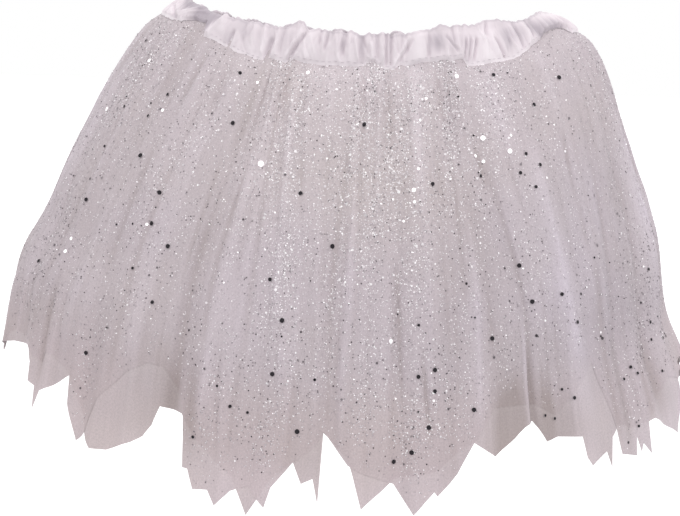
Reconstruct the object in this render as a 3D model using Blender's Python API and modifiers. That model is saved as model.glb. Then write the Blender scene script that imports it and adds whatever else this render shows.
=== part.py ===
"""Ballet tutu: a ruched satin waistband over two gathered layers of tulle with pointed hems.

The skirt keeps the hollow, flared form that it has when it is worn on the hips. Each piece is an
open sheet laid out on a grid, shaped by the functions below and given its wall by Solidify.
Metres, +Z up, the front faces -Y. The origin is the centre of the ring that the waistband makes.
Angles run round the skirt from the front: 0 is the front, +90 is +X and -90 is -X.
"""

from collections import namedtuple
from math import ceil, cos, pi, radians, sin

import bmesh
import bpy
import numpy as np

MM = 0.001

# The seam line, where the band's lower edge meets the tulle: an ellipse that rides up at the hips
# and sags at the front and the back. Its height stands over the middle of the waistband's ring.
SEAM_HALF_WIDTH = 0.158
SEAM_HALF_DEPTH = 0.116
SEAM_GAP = 0.0004
SEAM_EASE_DEG = 4
Height = namedtuple("Height", "deg up_mm")
SEAM_ROWS = (
    Height(-90, 7.0), Height(-68, 3.5), Height(-56, -2.0), Height(-45, -9.0), Height(-33, -17.5),
    Height(-18, -22.5), Height(0, -23.0), Height(15, -21.0), Height(30, -19.0), Height(43, -12.0),
    Height(54, -3.5), Height(66, 1.0), Height(90, 3.0), Height(115, -5.0), Height(145, -21.0),
    Height(180, -30.0), Height(215, -21.0), Height(245, -4.0),
)

# The band: satin drawn up on a flat elastic.
BAND_HEIGHT = 0.023
BAND_WALL = 0.0032
BAND_LEAN_SIDE = 60.0
BAND_LEAN_FRONT = 15.0
BAND_RUCHES = 44
BAND_COLUMNS_PER_RUCHE = 4
BAND_RUCHE_DEPTH = 0.0012
BAND_RUCHE_SWAY = 0.8
BAND_CROWN = 0.0014
BAND_EDGE_FRILL = 0.0010

# The tulle.
TULLE_WALL = 0.0010
TULLE_TOP_INSET = 0.0006
LAYER_STEP_TOP = 0.0017
LAYER_STEP_HEM = 0.0036
LAYER_STEP_LENGTH = 0.060
GATHERS = 50
GATHER_DEPTH = 0.0014
GATHER_PEAK = 0.030
GATHER_FADE = 0.120
FOLD_TURN_LENGTH = 0.190
FOLD_GROWTH_LENGTH = 0.150
FOLD_HEM_SHARE = 0.55
PROFILE_STEP = 0.005
PROFILE_LENGTH = 0.330

# Slope of the tulle off the vertical, in degrees, at a distance down the cloth from the seam.
Slope = namedtuple("Slope", "down_mm left front right back")
SLOPES = (
    Slope(0, 61, 34, 61, 34),
    Slope(15, 40, 30, 35, 30),
    Slope(40, 33, 26, 24, 27),
    Slope(80, 29, 22, 19, 24),
    Slope(125, 26, 18, 23, 21),
    Slope(158, 21, 16, 20, 19),
    Slope(176, 29, 14, 12, 17),
    Slope(198, 33, 13, 6, 16),
    Slope(220, 17, 12, 13, 15),
    Slope(240, 8, 11, 27, 14),
    Slope(262, 11, 9, 27, 13),
    Slope(285, 14, 8, 18, 12),
    Slope(330, 12, 6, 10, 10),
)

# The deep troughs between the skirt's pipes, from the left hip across the front to the right hip.
Trough = namedtuple("Trough", "seam_deg hem_deg depth_mm start_mm width_deg")
TROUGHS = (
    Trough(-84.0, -82.0, 8.0, 30, 3.0),
    Trough(-70.0, -71.0, 8.0, 60, 2.6),
    Trough(-54.0, -58.0, 8.0, 20, 2.4),
    Trough(-44.0, -50.0, 9.0, 50, 2.4),
    Trough(-37.0, -42.5, 5.5, 15, 2.0),
    Trough(-24.5, -32.3, 15.0, 5, 2.9),
    Trough(-19.5, -18.0, 6.5, 10, 2.0),
    Trough(-13.0, -11.3, 6.0, 40, 1.8),
    Trough(-3.0, -5.0, 12.0, 15, 2.3),
    Trough(5.6, 7.6, 8.5, 5, 1.9),
    Trough(11.5, 12.6, 5.0, 150, 1.6),
    Trough(17.0, 18.5, 5.5, 5, 1.8),
    Trough(22.5, 31.4, 15.0, 10, 2.8),
    Trough(31.0, 37.5, 5.0, 60, 2.0),
    Trough(45.5, 47.2, 9.0, 15, 2.3),
    Trough(57.0, 54.5, 8.5, 30, 2.2),
    Trough(66.0, 64.0, 8.0, 30, 2.4),
    Trough(76.0, 78.0, 8.0, 30, 2.8),
)
BACK_TROUGHS = 17
BACK_FROM_DEG = 90.0
BACK_TO_DEG = 266.0
BACK_DEPTH_MM = 11.0
BACK_DEPTH_SWING_MM = 3.5
BACK_WIDTH_DEG = 2.7

# The pointed hems: length of the cloth below the seam at an angle, the points joined by straight cuts.
Cut = namedtuple("Cut", "deg down_mm")
SEQUIN_HEM = (
    Cut(-94.0, 282), Cut(-86.5, 298), Cut(-80.0, 283), Cut(-73.0, 270), Cut(-66.0, 262),
    Cut(-61.0, 267), Cut(-60.0, 257), Cut(-53.5, 262), Cut(-53.0, 283), Cut(-50.5, 305),
    Cut(-48.5, 296), Cut(-46.5, 268), Cut(-42.0, 243), Cut(-38.0, 230), Cut(-35.0, 229),
    Cut(-31.0, 250), Cut(-30.0, 272), Cut(-29.5, 290), Cut(-28.5, 290), Cut(-27.5, 303),
    Cut(-25.0, 301), Cut(-23.5, 310), Cut(-21.0, 298), Cut(-18.0, 292), Cut(-16.0, 301),
    Cut(-15.0, 305), Cut(-14.0, 291), Cut(-10.5, 273), Cut(-7.0, 262), Cut(-5.5, 251),
    Cut(-1.0, 272), Cut(1.5, 277), Cut(7.0, 285), Cut(10.5, 306), Cut(14.0, 291),
    Cut(14.5, 294), Cut(18.0, 280), Cut(21.0, 261), Cut(25.0, 238), Cut(33.0, 240),
    Cut(37.5, 252), Cut(42.0, 238), Cut(47.0, 226), Cut(49.5, 272), Cut(50.5, 296),
    Cut(55.0, 304), Cut(55.5, 291), Cut(56.0, 303), Cut(56.5, 297), Cut(57.5, 306),
    Cut(58.0, 281), Cut(67.5, 262), Cut(72.0, 268), Cut(77.0, 258), Cut(84.0, 264),
    Cut(90.0, 280),
)
PLAIN_HEM = (
    Cut(-94.0, 272), Cut(-86.5, 286), Cut(-80.0, 276), Cut(-73.0, 262), Cut(-66.0, 258),
    Cut(-63.5, 271), Cut(-63.0, 284), Cut(-61.5, 285), Cut(-61.0, 302), Cut(-60.0, 286),
    Cut(-53.5, 264), Cut(-50.5, 283), Cut(-48.5, 296), Cut(-46.5, 303), Cut(-42.0, 293),
    Cut(-36.5, 275), Cut(-35.0, 256), Cut(-31.0, 256), Cut(-27.5, 270), Cut(-21.0, 289),
    Cut(-18.0, 312), Cut(-14.0, 285), Cut(-10.5, 273), Cut(-9.0, 287), Cut(-7.0, 283),
    Cut(-6.0, 300), Cut(-5.5, 252), Cut(-1.0, 268), Cut(0.0, 280), Cut(1.5, 301),
    Cut(7.0, 282), Cut(14.0, 278), Cut(18.0, 266), Cut(21.0, 260), Cut(25.0, 271),
    Cut(33.0, 252), Cut(35.0, 268), Cut(37.5, 267), Cut(42.0, 272), Cut(42.5, 287),
    Cut(43.5, 294), Cut(47.0, 289), Cut(48.0, 302), Cut(48.5, 281), Cut(50.5, 275),
    Cut(55.0, 284), Cut(59.5, 283), Cut(67.5, 305), Cut(72.0, 275), Cut(77.0, 262),
    Cut(84.0, 260), Cut(90.0, 276),
)
BACK_CUTS = 34
BACK_HEM_MM = 278.0
BACK_POINT_MM = 15.0
BACK_SWAY_MM = 8.0

# Distances down the cloth of the rows above the cut edge, and the widest step between columns.
ROWS_MM = (0, 14, 45, 90, 135, 170, 200, 228)
WIDEST_COLUMN_DEG = 2.7

Finish = namedtuple("Finish", "name colour roughness metallic")
SATIN = Finish("satin", (0.80, 0.74, 0.78, 1.0), 0.35, 0.0)
SEQUIN_TULLE = Finish("sequin_tulle", (0.56, 0.50, 0.54, 1.0), 0.55, 0.25)
PLAIN_TULLE = Finish("plain_tulle", (0.60, 0.53, 0.56, 1.0), 0.75, 0.0)


def back_troughs():
    """Return the troughs of the back, evenly set out and then swayed a little."""
    step = (BACK_TO_DEG - BACK_FROM_DEG) / (BACK_TROUGHS - 1)
    rows = []
    for k in range(BACK_TROUGHS):
        seam = BACK_FROM_DEG + k * step
        hem = seam + 1.6 * sin(2.1 * k + 0.6)
        depth = BACK_DEPTH_MM + BACK_DEPTH_SWING_MM * sin(2.6 * k + 1.0)
        start = 30.0 + 24.0 * sin(1.7 * k)
        rows.append(Trough(seam, hem, depth, start, BACK_WIDTH_DEG + 0.4 * sin(3.1 * k)))
    return rows


def back_cuts(first_is_point):
    """Return the hem cuts of the back, points and notches by turns."""
    span = (SEQUIN_HEM[0].deg + 360.0) - SEQUIN_HEM[-1].deg
    rows = []
    for k in range(1, BACK_CUTS):
        deg = SEQUIN_HEM[-1].deg + span * k / BACK_CUTS + 0.9 * sin(2.3 * k)
        side = 1.0 if (k % 2 == 0) == first_is_point else -1.0
        reach = BACK_POINT_MM * (0.65 + 0.35 * sin(1.9 * k + 0.4))
        sway = BACK_SWAY_MM * sin(0.55 * k + (0.0 if first_is_point else 1.7))
        rows.append(Cut(round(2.0 * deg) / 2.0, BACK_HEM_MM + side * reach + sway))
    return rows


ALL_TROUGHS = list(TROUGHS) + back_troughs()
ALL_SEQUIN_CUTS = list(SEQUIN_HEM) + back_cuts(True)
ALL_PLAIN_CUTS = list(PLAIN_HEM) + back_cuts(False)


def around(degrees, table_degrees, values):
    """Interpolate a table that goes once round the skirt."""
    start = table_degrees[0]
    knots = list(table_degrees) + [start + 360.0]
    levels = list(values) + [values[0]]
    return float(np.interp((degrees - start) % 360.0 + start, knots, levels))


def smooth(value):
    """Ease a value from 0 to 1."""
    value = min(max(value, 0.0), 1.0)
    return value * value * (3.0 - 2.0 * value)


def side_shares(angle):
    """Return how far an angle belongs to the left, the front, the right and the back."""
    across, ahead = sin(angle), cos(angle)
    return max(-across, 0) ** 2, max(ahead, 0) ** 2, max(across, 0) ** 2, max(-ahead, 0) ** 2


def profile_tables():
    """Integrate the slopes into the reach outwards and the drop at each step down the cloth."""
    down = np.arange(0.0, PROFILE_LENGTH, PROFILE_STEP)
    tables = []
    for side in ("left", "front", "right", "back"):
        slopes = [getattr(row, side) for row in SLOPES]
        lean = np.radians(np.interp(down / MM, [row.down_mm for row in SLOPES], slopes))
        middle = (lean[1:] + lean[:-1]) / 2.0
        reach = np.concatenate([[0.0], np.cumsum(np.sin(middle)) * PROFILE_STEP])
        drop = np.concatenate([[0.0], np.cumsum(np.cos(middle)) * PROFILE_STEP])
        tables.append((reach, drop, lean))
    return down, tables


PROFILE_DOWN, PROFILES = profile_tables()


def seam_heights():
    """Lay the seam's heights out at every degree and round off the corners at the rows."""
    turn = np.arange(-180.0, 180.0)
    height = np.interp(turn, [row.deg for row in SEAM_ROWS], [row.up_mm for row in SEAM_ROWS], period=360.0)
    for _ in range(2):
        shifts = range(-SEAM_EASE_DEG, SEAM_EASE_DEG + 1)
        height = np.mean([np.roll(height, shift) for shift in shifts], axis=0)
    return turn, height * MM


SEAM_TURN, SEAM_HEIGHTS = seam_heights()


def seam_point(angle):
    """Return the seam line's point and its level outward direction at an angle."""
    height = np.interp(angle * 180.0 / pi, SEAM_TURN, SEAM_HEIGHTS, period=360.0)
    point = np.array((SEAM_HALF_WIDTH * sin(angle), -SEAM_HALF_DEPTH * cos(angle), height))
    out = np.array((sin(angle) / SEAM_HALF_WIDTH, -cos(angle) / SEAM_HALF_DEPTH, 0.0))
    return point, out / np.linalg.norm(out)


def seam_degrees(hem_degrees):
    """Return where on the seam line the thread that ends at a hem angle starts."""
    turns = [row.seam_deg - row.hem_deg for row in ALL_TROUGHS]
    return hem_degrees + around(hem_degrees, [row.hem_deg for row in ALL_TROUGHS], turns)


def fold_depth(hem_degrees, down):
    """Return how far the cloth stands out from its plain cone: pipes, troughs and gathers."""
    height = 0.0
    for row in ALL_TROUGHS:
        off = (hem_degrees - row.hem_deg + 180.0) % 360.0 - 180.0
        if abs(off) > 4.0 * row.width_deg:
            continue
        grown = smooth((down - row.start_mm * MM) / FOLD_GROWTH_LENGTH)
        growth = grown * (FOLD_HEM_SHARE + (1.0 - FOLD_HEM_SHARE) * down / PROFILE_LENGTH)
        height -= row.depth_mm * MM * growth * float(np.exp(-(off / row.width_deg) ** 2))
    rise = smooth(0.3 + 0.7 * down / GATHER_PEAK) * (1.0 - smooth((down - GATHER_PEAK) / GATHER_FADE))
    sway = 0.9 * sin(radians(7.0 * hem_degrees))
    return height + GATHER_DEPTH / 2.0 * rise * cos(radians(GATHERS * hem_degrees) + sway)


def tulle_point(hem_degrees, down, inset):
    """Return a point of the tulle: a thread's hem angle, the distance down it and the inset."""
    turn = smooth(down / FOLD_TURN_LENGTH)
    angle = radians(hem_degrees * turn + seam_degrees(hem_degrees) * (1.0 - turn))
    point, out = seam_point(angle)
    reach, drop, lean = (
        sum(share * np.interp(down, PROFILE_DOWN, table[k])
            for share, table in zip(side_shares(angle), PROFILES))
        for k in range(3)
    )
    normal = out * cos(lean) + np.array((0.0, 0.0, sin(lean)))
    point = point + out * reach - np.array((0.0, 0.0, drop + SEAM_GAP))
    return point + normal * (fold_depth(hem_degrees, down) - inset)


def layer_inset(layer, down):
    """Return how far below the band's face a layer's outer face lies; layer 0 is the outer one."""
    spread = smooth(down / LAYER_STEP_LENGTH)
    step = LAYER_STEP_TOP + (LAYER_STEP_HEM - LAYER_STEP_TOP) * spread
    return TULLE_TOP_INSET + layer * step


def band_point(degrees, share):
    """Return a point of the band's outer face; share runs from 0 at the seam to 1 at the top."""
    angle = radians(degrees)
    point, out = seam_point(angle)
    side = sin(angle) ** 2
    lean = radians(BAND_LEAN_FRONT + (BAND_LEAN_SIDE - BAND_LEAN_FRONT) * side)
    up = np.array((0.0, 0.0, cos(lean))) - out * sin(lean)
    normal = out * cos(lean) + np.array((0.0, 0.0, sin(lean)))
    wave = cos(radians(BAND_RUCHES * degrees) + BAND_RUCHE_SWAY * sin(5.0 * angle))
    frill = BAND_EDGE_FRILL * wave * share ** 4
    crown = BAND_CROWN * sin(pi * share)
    ruche = BAND_RUCHE_DEPTH * wave * (0.35 + 0.65 * sin(pi * min(share + 0.15, 1.0)))
    return point + up * (share * BAND_HEIGHT + frill) + normal * (crown + ruche)


def column_degrees():
    """Return the hem angles of the tulle's columns: every cut, with even steps between them."""
    corners = {row.deg % 360.0 for row in ALL_SEQUIN_CUTS + ALL_PLAIN_CUTS}
    corners = sorted(corners)
    columns = []
    for here, after in zip(corners, corners[1:] + [corners[0] + 360.0]):
        steps = ceil((after - here) / WIDEST_COLUMN_DEG)
        columns += [here + (after - here) * k / steps for k in range(steps)]
    return columns


def closed_sheet(name, columns, rows, place):
    """Make a sheet that goes once round: a grid, each of whose points place() puts."""
    mesh = bpy.data.meshes.new(name)
    bm = bmesh.new()
    bmesh.ops.create_grid(bm, x_segments=columns, y_segments=rows - 1, size=1.0)
    for vert in bm.verts:
        column = round((vert.co.x + 1.0) / 2.0 * columns)
        row = round((vert.co.y + 1.0) / 2.0 * (rows - 1))
        vert.co = place(column % columns, row)
    bmesh.ops.remove_doubles(bm, verts=bm.verts, dist=1e-6)
    bmesh.ops.recalc_face_normals(bm, faces=bm.faces)
    bm.to_mesh(mesh)
    bm.free()
    return mesh


def add_piece(mesh, finish, wall, collection):
    """Make the object of a sheet, with its wall to the inside and its own material."""
    piece = bpy.data.objects.new(mesh.name, mesh)
    collection.objects.link(piece)
    solid = piece.modifiers.new("wall", "SOLIDIFY")
    solid.thickness = wall
    solid.offset = -1.0
    mesh.shade_smooth()
    material = bpy.data.materials.new(finish.name)
    material.use_nodes = True
    shader = material.node_tree.nodes["Principled BSDF"]
    shader.inputs["Base Color"].default_value = finish.colour
    shader.inputs["Roughness"].default_value = finish.roughness
    shader.inputs["Metallic"].default_value = finish.metallic
    mesh.materials.append(material)
    return piece


def make_band(collection):
    """Make the ruched waistband."""
    columns = BAND_RUCHES * BAND_COLUMNS_PER_RUCHE
    shares = (0.0, 0.32, 0.72, 1.0)

    def place(column, row):
        return band_point(360.0 * column / columns, shares[row])

    mesh = closed_sheet("waistband", columns, len(shares), place)
    return add_piece(mesh, SATIN, BAND_WALL, collection)


def make_tulle(name, layer, cuts, finish, collection):
    """Make one layer of tulle, its last row on the pointed hem."""
    columns = column_degrees()
    cut_degrees = [row.deg for row in cuts]
    cut_lengths = [row.down_mm for row in cuts]

    def place(column, row):
        degrees = columns[column]
        if row < len(ROWS_MM):
            down = ROWS_MM[row] * MM
        else:
            down = around(degrees, cut_degrees, cut_lengths) * MM
        return tulle_point(degrees, down, layer_inset(layer, down))

    mesh = closed_sheet(name, len(columns), len(ROWS_MM) + 1, place)
    return add_piece(mesh, finish, TULLE_WALL, collection)


def main():
    """Clear the scene and make the tutu."""
    for thing in list(bpy.data.objects):
        bpy.data.objects.remove(thing)
    tutu = bpy.data.collections.new("tutu")
    bpy.context.scene.collection.children.link(tutu)
    make_band(tutu)
    make_tulle("sequin_tulle", 0, ALL_SEQUIN_CUTS, SEQUIN_TULLE, tutu)
    make_tulle("plain_tulle", 1, ALL_PLAIN_CUTS, PLAIN_TULLE, tutu)


main()
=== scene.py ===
"""Looks of the ballet tutu: ruched satin casing, glittered net, plain net, sequins and studio.

Sizes are in metres, or in millimetres where a name ends in _mm. Angles go round the skirt in degrees,
from nought at the front toward +X. A share runs up the casing, from 0 at the seam to 1 at the top.
"""

import logging
from dataclasses import dataclass, field
from enum import Enum
from math import cos, pi, radians, sin, sqrt
from typing import Sequence, TypeVar
import bmesh
import bpy
import numpy as np
from mathutils import Matrix, Vector


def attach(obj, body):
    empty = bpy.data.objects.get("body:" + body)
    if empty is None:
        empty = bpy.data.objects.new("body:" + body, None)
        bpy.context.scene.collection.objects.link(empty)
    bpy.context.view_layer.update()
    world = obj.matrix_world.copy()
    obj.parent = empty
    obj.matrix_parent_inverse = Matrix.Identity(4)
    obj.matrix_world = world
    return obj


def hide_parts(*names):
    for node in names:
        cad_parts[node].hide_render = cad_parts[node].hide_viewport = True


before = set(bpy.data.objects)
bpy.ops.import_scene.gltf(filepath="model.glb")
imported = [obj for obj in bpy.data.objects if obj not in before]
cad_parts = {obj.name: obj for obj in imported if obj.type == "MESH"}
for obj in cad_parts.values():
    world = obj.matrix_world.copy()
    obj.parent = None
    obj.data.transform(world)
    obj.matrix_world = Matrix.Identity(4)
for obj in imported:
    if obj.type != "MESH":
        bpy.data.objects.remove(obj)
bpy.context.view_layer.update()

log = logging.getLogger("tutu")

MM = 0.001
TURN = 360.0
WELD = 1e-7
JITTER = (-0.4, 0.4)
Array = np.ndarray
Colour = tuple[float, float, float, float]
Range = tuple[float, float]


class Layer(Enum):
    """The two layers of net, named by how deep they lie."""

    SEQUIN = 0
    PLAIN = 1


class Rim(Enum):
    """The side of the casing that a thing lies on."""

    FACE = 1.0
    BACK = -1.0


class Foil(Enum):
    """How a sequin's foil happens to stand, as painted reflection: painted dark where it would mirror the
    dark, painted light where it would flash.
    """

    DARK = 0.02
    SILVER = 0.45
    FLASH = 1.0


# ---- Rows of the maker's tables ----


@dataclass(frozen=True)
class Height:
    """Height of the seam line over the middle of the casing's ring."""

    deg: float
    up_mm: float


@dataclass(frozen=True)
class Slope:
    """Slope of the net off the vertical, in degrees, at a distance down the cloth."""

    down_mm: float
    left: float
    front: float
    right: float
    back: float


@dataclass(frozen=True)
class Trough:
    """A deep trough between two pipes of the skirt."""

    seam_deg: float
    hem_deg: float
    depth_mm: float
    start_mm: float
    width_deg: float


@dataclass(frozen=True)
class Fold:
    """A soft ridge, or a trough where its height is negative, and its tone: painted light on the net above
    nought, painted shade below.
    """

    top_deg: float
    low_deg: float
    from_mm: float
    to_mm: float
    height_mm: float
    width_deg: float
    tone: float


@dataclass(frozen=True)
class Cut:
    """A corner of a pointed hem: the cloth's length below the seam at an angle."""

    deg: float
    down_mm: float


@dataclass(frozen=True)
class SparkleZone:
    """A soft patch of glitter: its middle, its reach, and how much of it is painted glinting (bright) or
    painted as dark reflection (dark).
    """

    hem_deg: float
    reach_deg: float
    down_mm: float
    reach_mm: float
    bright: float
    dark: float


@dataclass(frozen=True)
class Sequin:
    """A sequin that stands out: its place on the net and its width."""

    hem_deg: float
    down_mm: float
    width_mm: float


@dataclass(frozen=True)
class EdgeWave:
    """Where the casing's edge runs at an angle, as a share of the way up the casing."""

    deg: float
    share: float


@dataclass(frozen=True)
class Pucker:
    """A ridge, or a pinch where its height is negative, on a slant up the satin."""

    low_deg: float
    high_deg: float
    low: float
    high: float
    width_deg: float
    height_mm: float


@dataclass(frozen=True)
class Gleam:
    """A soft patch of painted sheen on the satin, or of painted shade where its tone is negative."""

    deg: float
    share: float
    reach_deg: float
    reach_share: float
    tone: float


Row = TypeVar("Row")


def rows_of(kind: type[Row], *values: Sequence[float]) -> tuple[Row, ...]:
    """Make the rows of a table, each from its values in the order of the row's fields."""
    return tuple(kind(*row) for row in values)


SEAM_ROWS = rows_of(
    Height,
    (-90, 7.0), (-68, 3.5), (-56, -2.0), (-45, -9.0), (-33, -17.5), (-18, -22.5), (0, -23.0),
    (15, -21.0), (30, -19.0), (43, -12.0), (54, -3.5), (66, 1.0), (90, 3.0), (115, -5.0), (145, -21.0),
    (180, -30.0), (215, -21.0), (245, -4.0),
)

SLOPES = rows_of(
    Slope,
    (0, 61, 34, 61, 34),
    (15, 40, 30, 35, 30),
    (40, 33, 26, 24, 27),
    (80, 29, 22, 19, 24),
    (125, 26, 18, 23, 21),
    (158, 21, 16, 20, 19),
    (176, 29, 14, 12, 17),
    (198, 33, 13, 6, 16),
    (220, 17, 12, 13, 15),
    (240, 8, 11, 27, 14),
    (262, 11, 9, 27, 13),
    (285, 14, 8, 18, 12),
    (330, 12, 6, 10, 10),
)

FRONT_TROUGHS = rows_of(
    Trough,
    (-84.0, -82.0, 8.0, 30, 3.0),
    (-70.0, -71.0, 8.0, 60, 2.6),
    (-54.0, -58.0, 8.0, 20, 2.4),
    (-44.0, -50.0, 9.0, 50, 2.4),
    (-37.0, -42.5, 5.5, 15, 2.0),
    (-24.5, -32.3, 12.0, 5, 2.9),
    (-19.5, -18.0, 6.5, 10, 2.0),
    (-13.0, -11.3, 6.0, 40, 1.8),
    (-3.0, -5.0, 9.0, 15, 2.3),
    (5.6, 7.6, 8.5, 5, 1.9),
    (11.5, 12.6, 5.0, 150, 1.6),
    (17.0, 18.5, 5.5, 5, 1.8),
    (22.5, 31.4, 12.0, 10, 2.8),
    (31.0, 37.5, 5.0, 60, 2.0),
    (45.5, 47.2, 9.0, 15, 2.3),
    (57.0, 54.5, 8.5, 30, 2.2),
    (66.0, 64.0, 8.0, 30, 2.4),
    (76.0, 78.0, 8.0, 30, 2.8),
)

# The folds' tones are painted light on ridges and painted shade in troughs, laid into the net's colour.
FRONT_FOLDS = rows_of(
    Fold,
    (-79.0, -79.0, 10, 95, 1.6, 1.6, 0.5),
    (-77.5, -77.5, 120, 175, 1.4, 1.4, 0.5),
    (-77.0, -77.0, 220, 262, 1.4, 1.4, 0.5),
    (-67.0, -66.0, 85, 260, -0.8, 5.0, -0.12),
    (-61.0, -61.0, 215, 285, -1.8, 0.7, -0.5),
    (-57.0, -54.0, 0, 60, -1.0, 2.0, -0.3),
    (-55.5, -55.5, -40, 14, -0.3, 3.6, -0.6),
    (-55.0, -56.0, 130, 240, 1.4, 2.2, 0.25),
    (-49.5, -50.0, 0, 50, -1.0, 0.7, -0.35),
    (-51.0, -51.0, 90, 175, -0.8, 0.5, -0.3),
    (-47.5, -48.0, 25, 120, 1.4, 1.4, 0.25),
    (-44.5, -45.0, 100, 190, -1.0, 0.6, -0.35),
    (-44.5, -45.0, 190, 250, -1.0, 0.6, -0.25),
    (-41.5, -41.5, 60, 235, 1.8, 1.9, 0.4),
    (-39.0, -38.0, 150, 275, -0.8, 1.0, -0.15),
    (-38.0, -39.0, 5, 60, 1.2, 1.2, 0.3),
    (-34.0, -34.0, 0, 70, -1.2, 0.8, -0.45),
    (-35.3, -34.6, 85, 160, -0.8, 0.4, -0.4),
    (-33.0, -32.6, 130, 255, -0.8, 0.6, -0.3),
    (-33.4, -33.4, 236, 280, -1.8, 1.1, -0.75),
    (-34.3, -34.0, 130, 225, 1.2, 0.4, 0.1),
    (-29.5, -28.8, 225, 275, -1.4, 1.4, -0.6),
    (-31.0, -30.6, 20, 60, -0.8, 0.8, -0.3),
    (-24.5, -24.5, 20, 75, 1.6, 2.2, 0.35),
    (-25.5, -26.5, 80, 200, 1.4, 1.8, 0.25),
    (-26.8, -27.2, 200, 255, 1.6, 0.8, 0.4),
    (-28.6, -28.4, 90, 200, -1.2, 0.6, -0.3),
    (-23.6, -23.8, 100, 160, -0.8, 0.4, -0.2),
    (-21.0, -22.0, 205, 275, -1.0, 0.5, -0.25),
    (-24.8, -24.2, 215, 270, -0.9, 0.4, -0.2),
    (-20.3, -20.5, 30, 200, -1.2, 0.6, -0.35),
    (-18.5, -18.5, 0, 30, -1.0, 1.0, -0.35),
    (-15.5, -15.5, 25, 110, 1.6, 0.9, 0.5),
    (-16.0, -15.5, 130, 175, 1.2, 0.8, 0.4),
    (-14.0, -13.5, 180, 230, 1.2, 0.7, 0.3),
    (-12.0, -12.0, 10, 60, 1.0, 0.7, 0.2),
    (-12.2, -12.2, 65, 100, -1.2, 0.6, -0.4),
    (-9.0, -8.5, 0, 50, 1.2, 0.8, 0.35),
    (-8.3, -8.3, 100, 165, 1.0, 0.7, 0.2),
    (-5.0, -5.5, 60, 150, -0.9, 0.45, -0.35),
    (-5.5, -5.0, 150, 250, -0.9, 0.5, -0.3),
    (-7.5, -7.0, 165, 250, 1.0, 0.8, 0.15),
    (-2.0, -2.0, 100, 180, 1.2, 0.9, 0.3),
    (-1.0, -0.5, 0, 30, 1.0, 0.8, 0.3),
    (-2.5, -3.0, 190, 250, 1.0, 0.7, 0.2),
    (6.8, 7.0, 0, 60, -1.6, 1.8, -0.5),
    (3.0, 3.0, 50, 110, 1.0, 0.9, 0.3),
    (7.2, 8.0, 145, 225, -1.2, 0.45, -0.5),
    (11.8, 13.2, 205, 252, -1.2, 0.45, -0.55),
    (13.0, 12.0, 0, 100, 2.0, 1.6, 0.6),
    (16.8, 16.8, 60, 100, -0.9, 0.6, -0.2),
    (18.5, 19.0, 0, 35, -1.2, 1.2, -0.4),
    (20.5, 20.0, 60, 170, -0.9, 0.6, -0.25),
    (22.2, 22.0, 145, 245, 1.4, 1.0, 0.4),
    (24.8, 25.0, 160, 200, -0.9, 0.5, -0.25),
    (23.0, 27.0, 0, 22, -1.2, 4.0, -0.5),
    (31.0, 31.0, 68, 84, -1.4, 0.8, -0.9),
    (32.2, 33.0, 80, 200, -0.5, 0.45, -0.3),
    (32.8, 33.2, 205, 290, -1.4, 0.5, -0.85),
    (29.6, 28.8, 224, 300, -1.2, 2.5, -0.8),
    (32.0, 32.4, 195, 290, 1.6, 0.3, 0.9),
    (35.4, 36.0, 228, 300, -1.2, 1.7, -0.75),
    (39.0, 40.0, 240, 310, -0.6, 2.6, -0.45),
    (28.0, 27.0, 232, 340, -0.5, 4.5, -0.5),
    (23.5, 27.5, 90, 330, -0.4, 3.2, -0.28),
    (16.0, 17.5, 170, 340, -0.3, 3.0, -0.2),
    (46.5, 47.0, 230, 330, -0.3, 2.6, -0.4),
    (-20.0, -20.0, 40, 200, 0.3, 6.0, 0.18),
    (-8.0, -8.0, -40, 120, 0.3, 9.0, 0.22),
    (10.0, 9.0, -40, 70, 0.3, 8.0, 0.25),
    (-45.0, -46.0, 200, 330, -0.3, 7.0, -0.15),
    (-63.0, -63.0, 150, 230, -0.3, 7.0, -0.12),
    (79.0, 70.0, 80, 190, 0.3, 7.0, 0.42),
    (-76.0, -76.0, 50, 140, 0.3, 6.0, 0.36),
    (-28.0, -27.0, 20, 100, 0.3, 6.0, 0.26),
    (-12.5, -12.5, 215, 262, -0.3, 3.0, -0.16),
    (-34.5, -35.0, 222, 268, -0.3, 2.4, -0.42),
    (40.0, 42.0, 190, 275, -0.3, 10.0, -0.20),
    (-33.0, -34.0, 180, 232, -0.3, 6.0, -0.16),
    (16.5, 16.5, 132, 182, -0.3, 3.0, -0.16),
    (29.0, 29.0, 105, 168, -0.3, 4.0, -0.18),
    (34.0, 34.0, 250, 340, -0.4, 3.0, -0.35),
    (36.5, 36.5, 5, 70, 1.8, 2.0, 0.5),
    (41.0, 41.0, 80, 175, 1.8, 1.4, 0.45),
    (40.5, 43.0, 165, 210, 1.8, 1.4, 0.5),
    (43.0, 46.5, 200, 285, 2.0, 2.6, 0.4),
    (48.2, 48.2, 0, 60, 1.6, 1.2, 0.5),
    (48.6, 49.0, 70, 150, -1.2, 0.5, -0.4),
    (50.0, 50.5, 160, 290, -1.6, 0.8, -0.5),
    (45.0, 45.0, 90, 170, -0.9, 1.6, -0.2),
    (55.0, 55.0, 60, 275, -1.0, 4.0, -0.15),
    (62.0, 63.0, 100, 230, -1.0, 4.5, -0.35),
    (63.0, 63.0, 232, 280, -1.6, 2.6, -0.8),
    (59.5, 59.0, 240, 290, -1.2, 0.8, -0.5),
    (74.0, 74.5, 60, 215, 1.6, 3.6, 0.5),
    (53.0, 53.0, 215, 300, -1.0, 1.6, -0.45),
)

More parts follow.
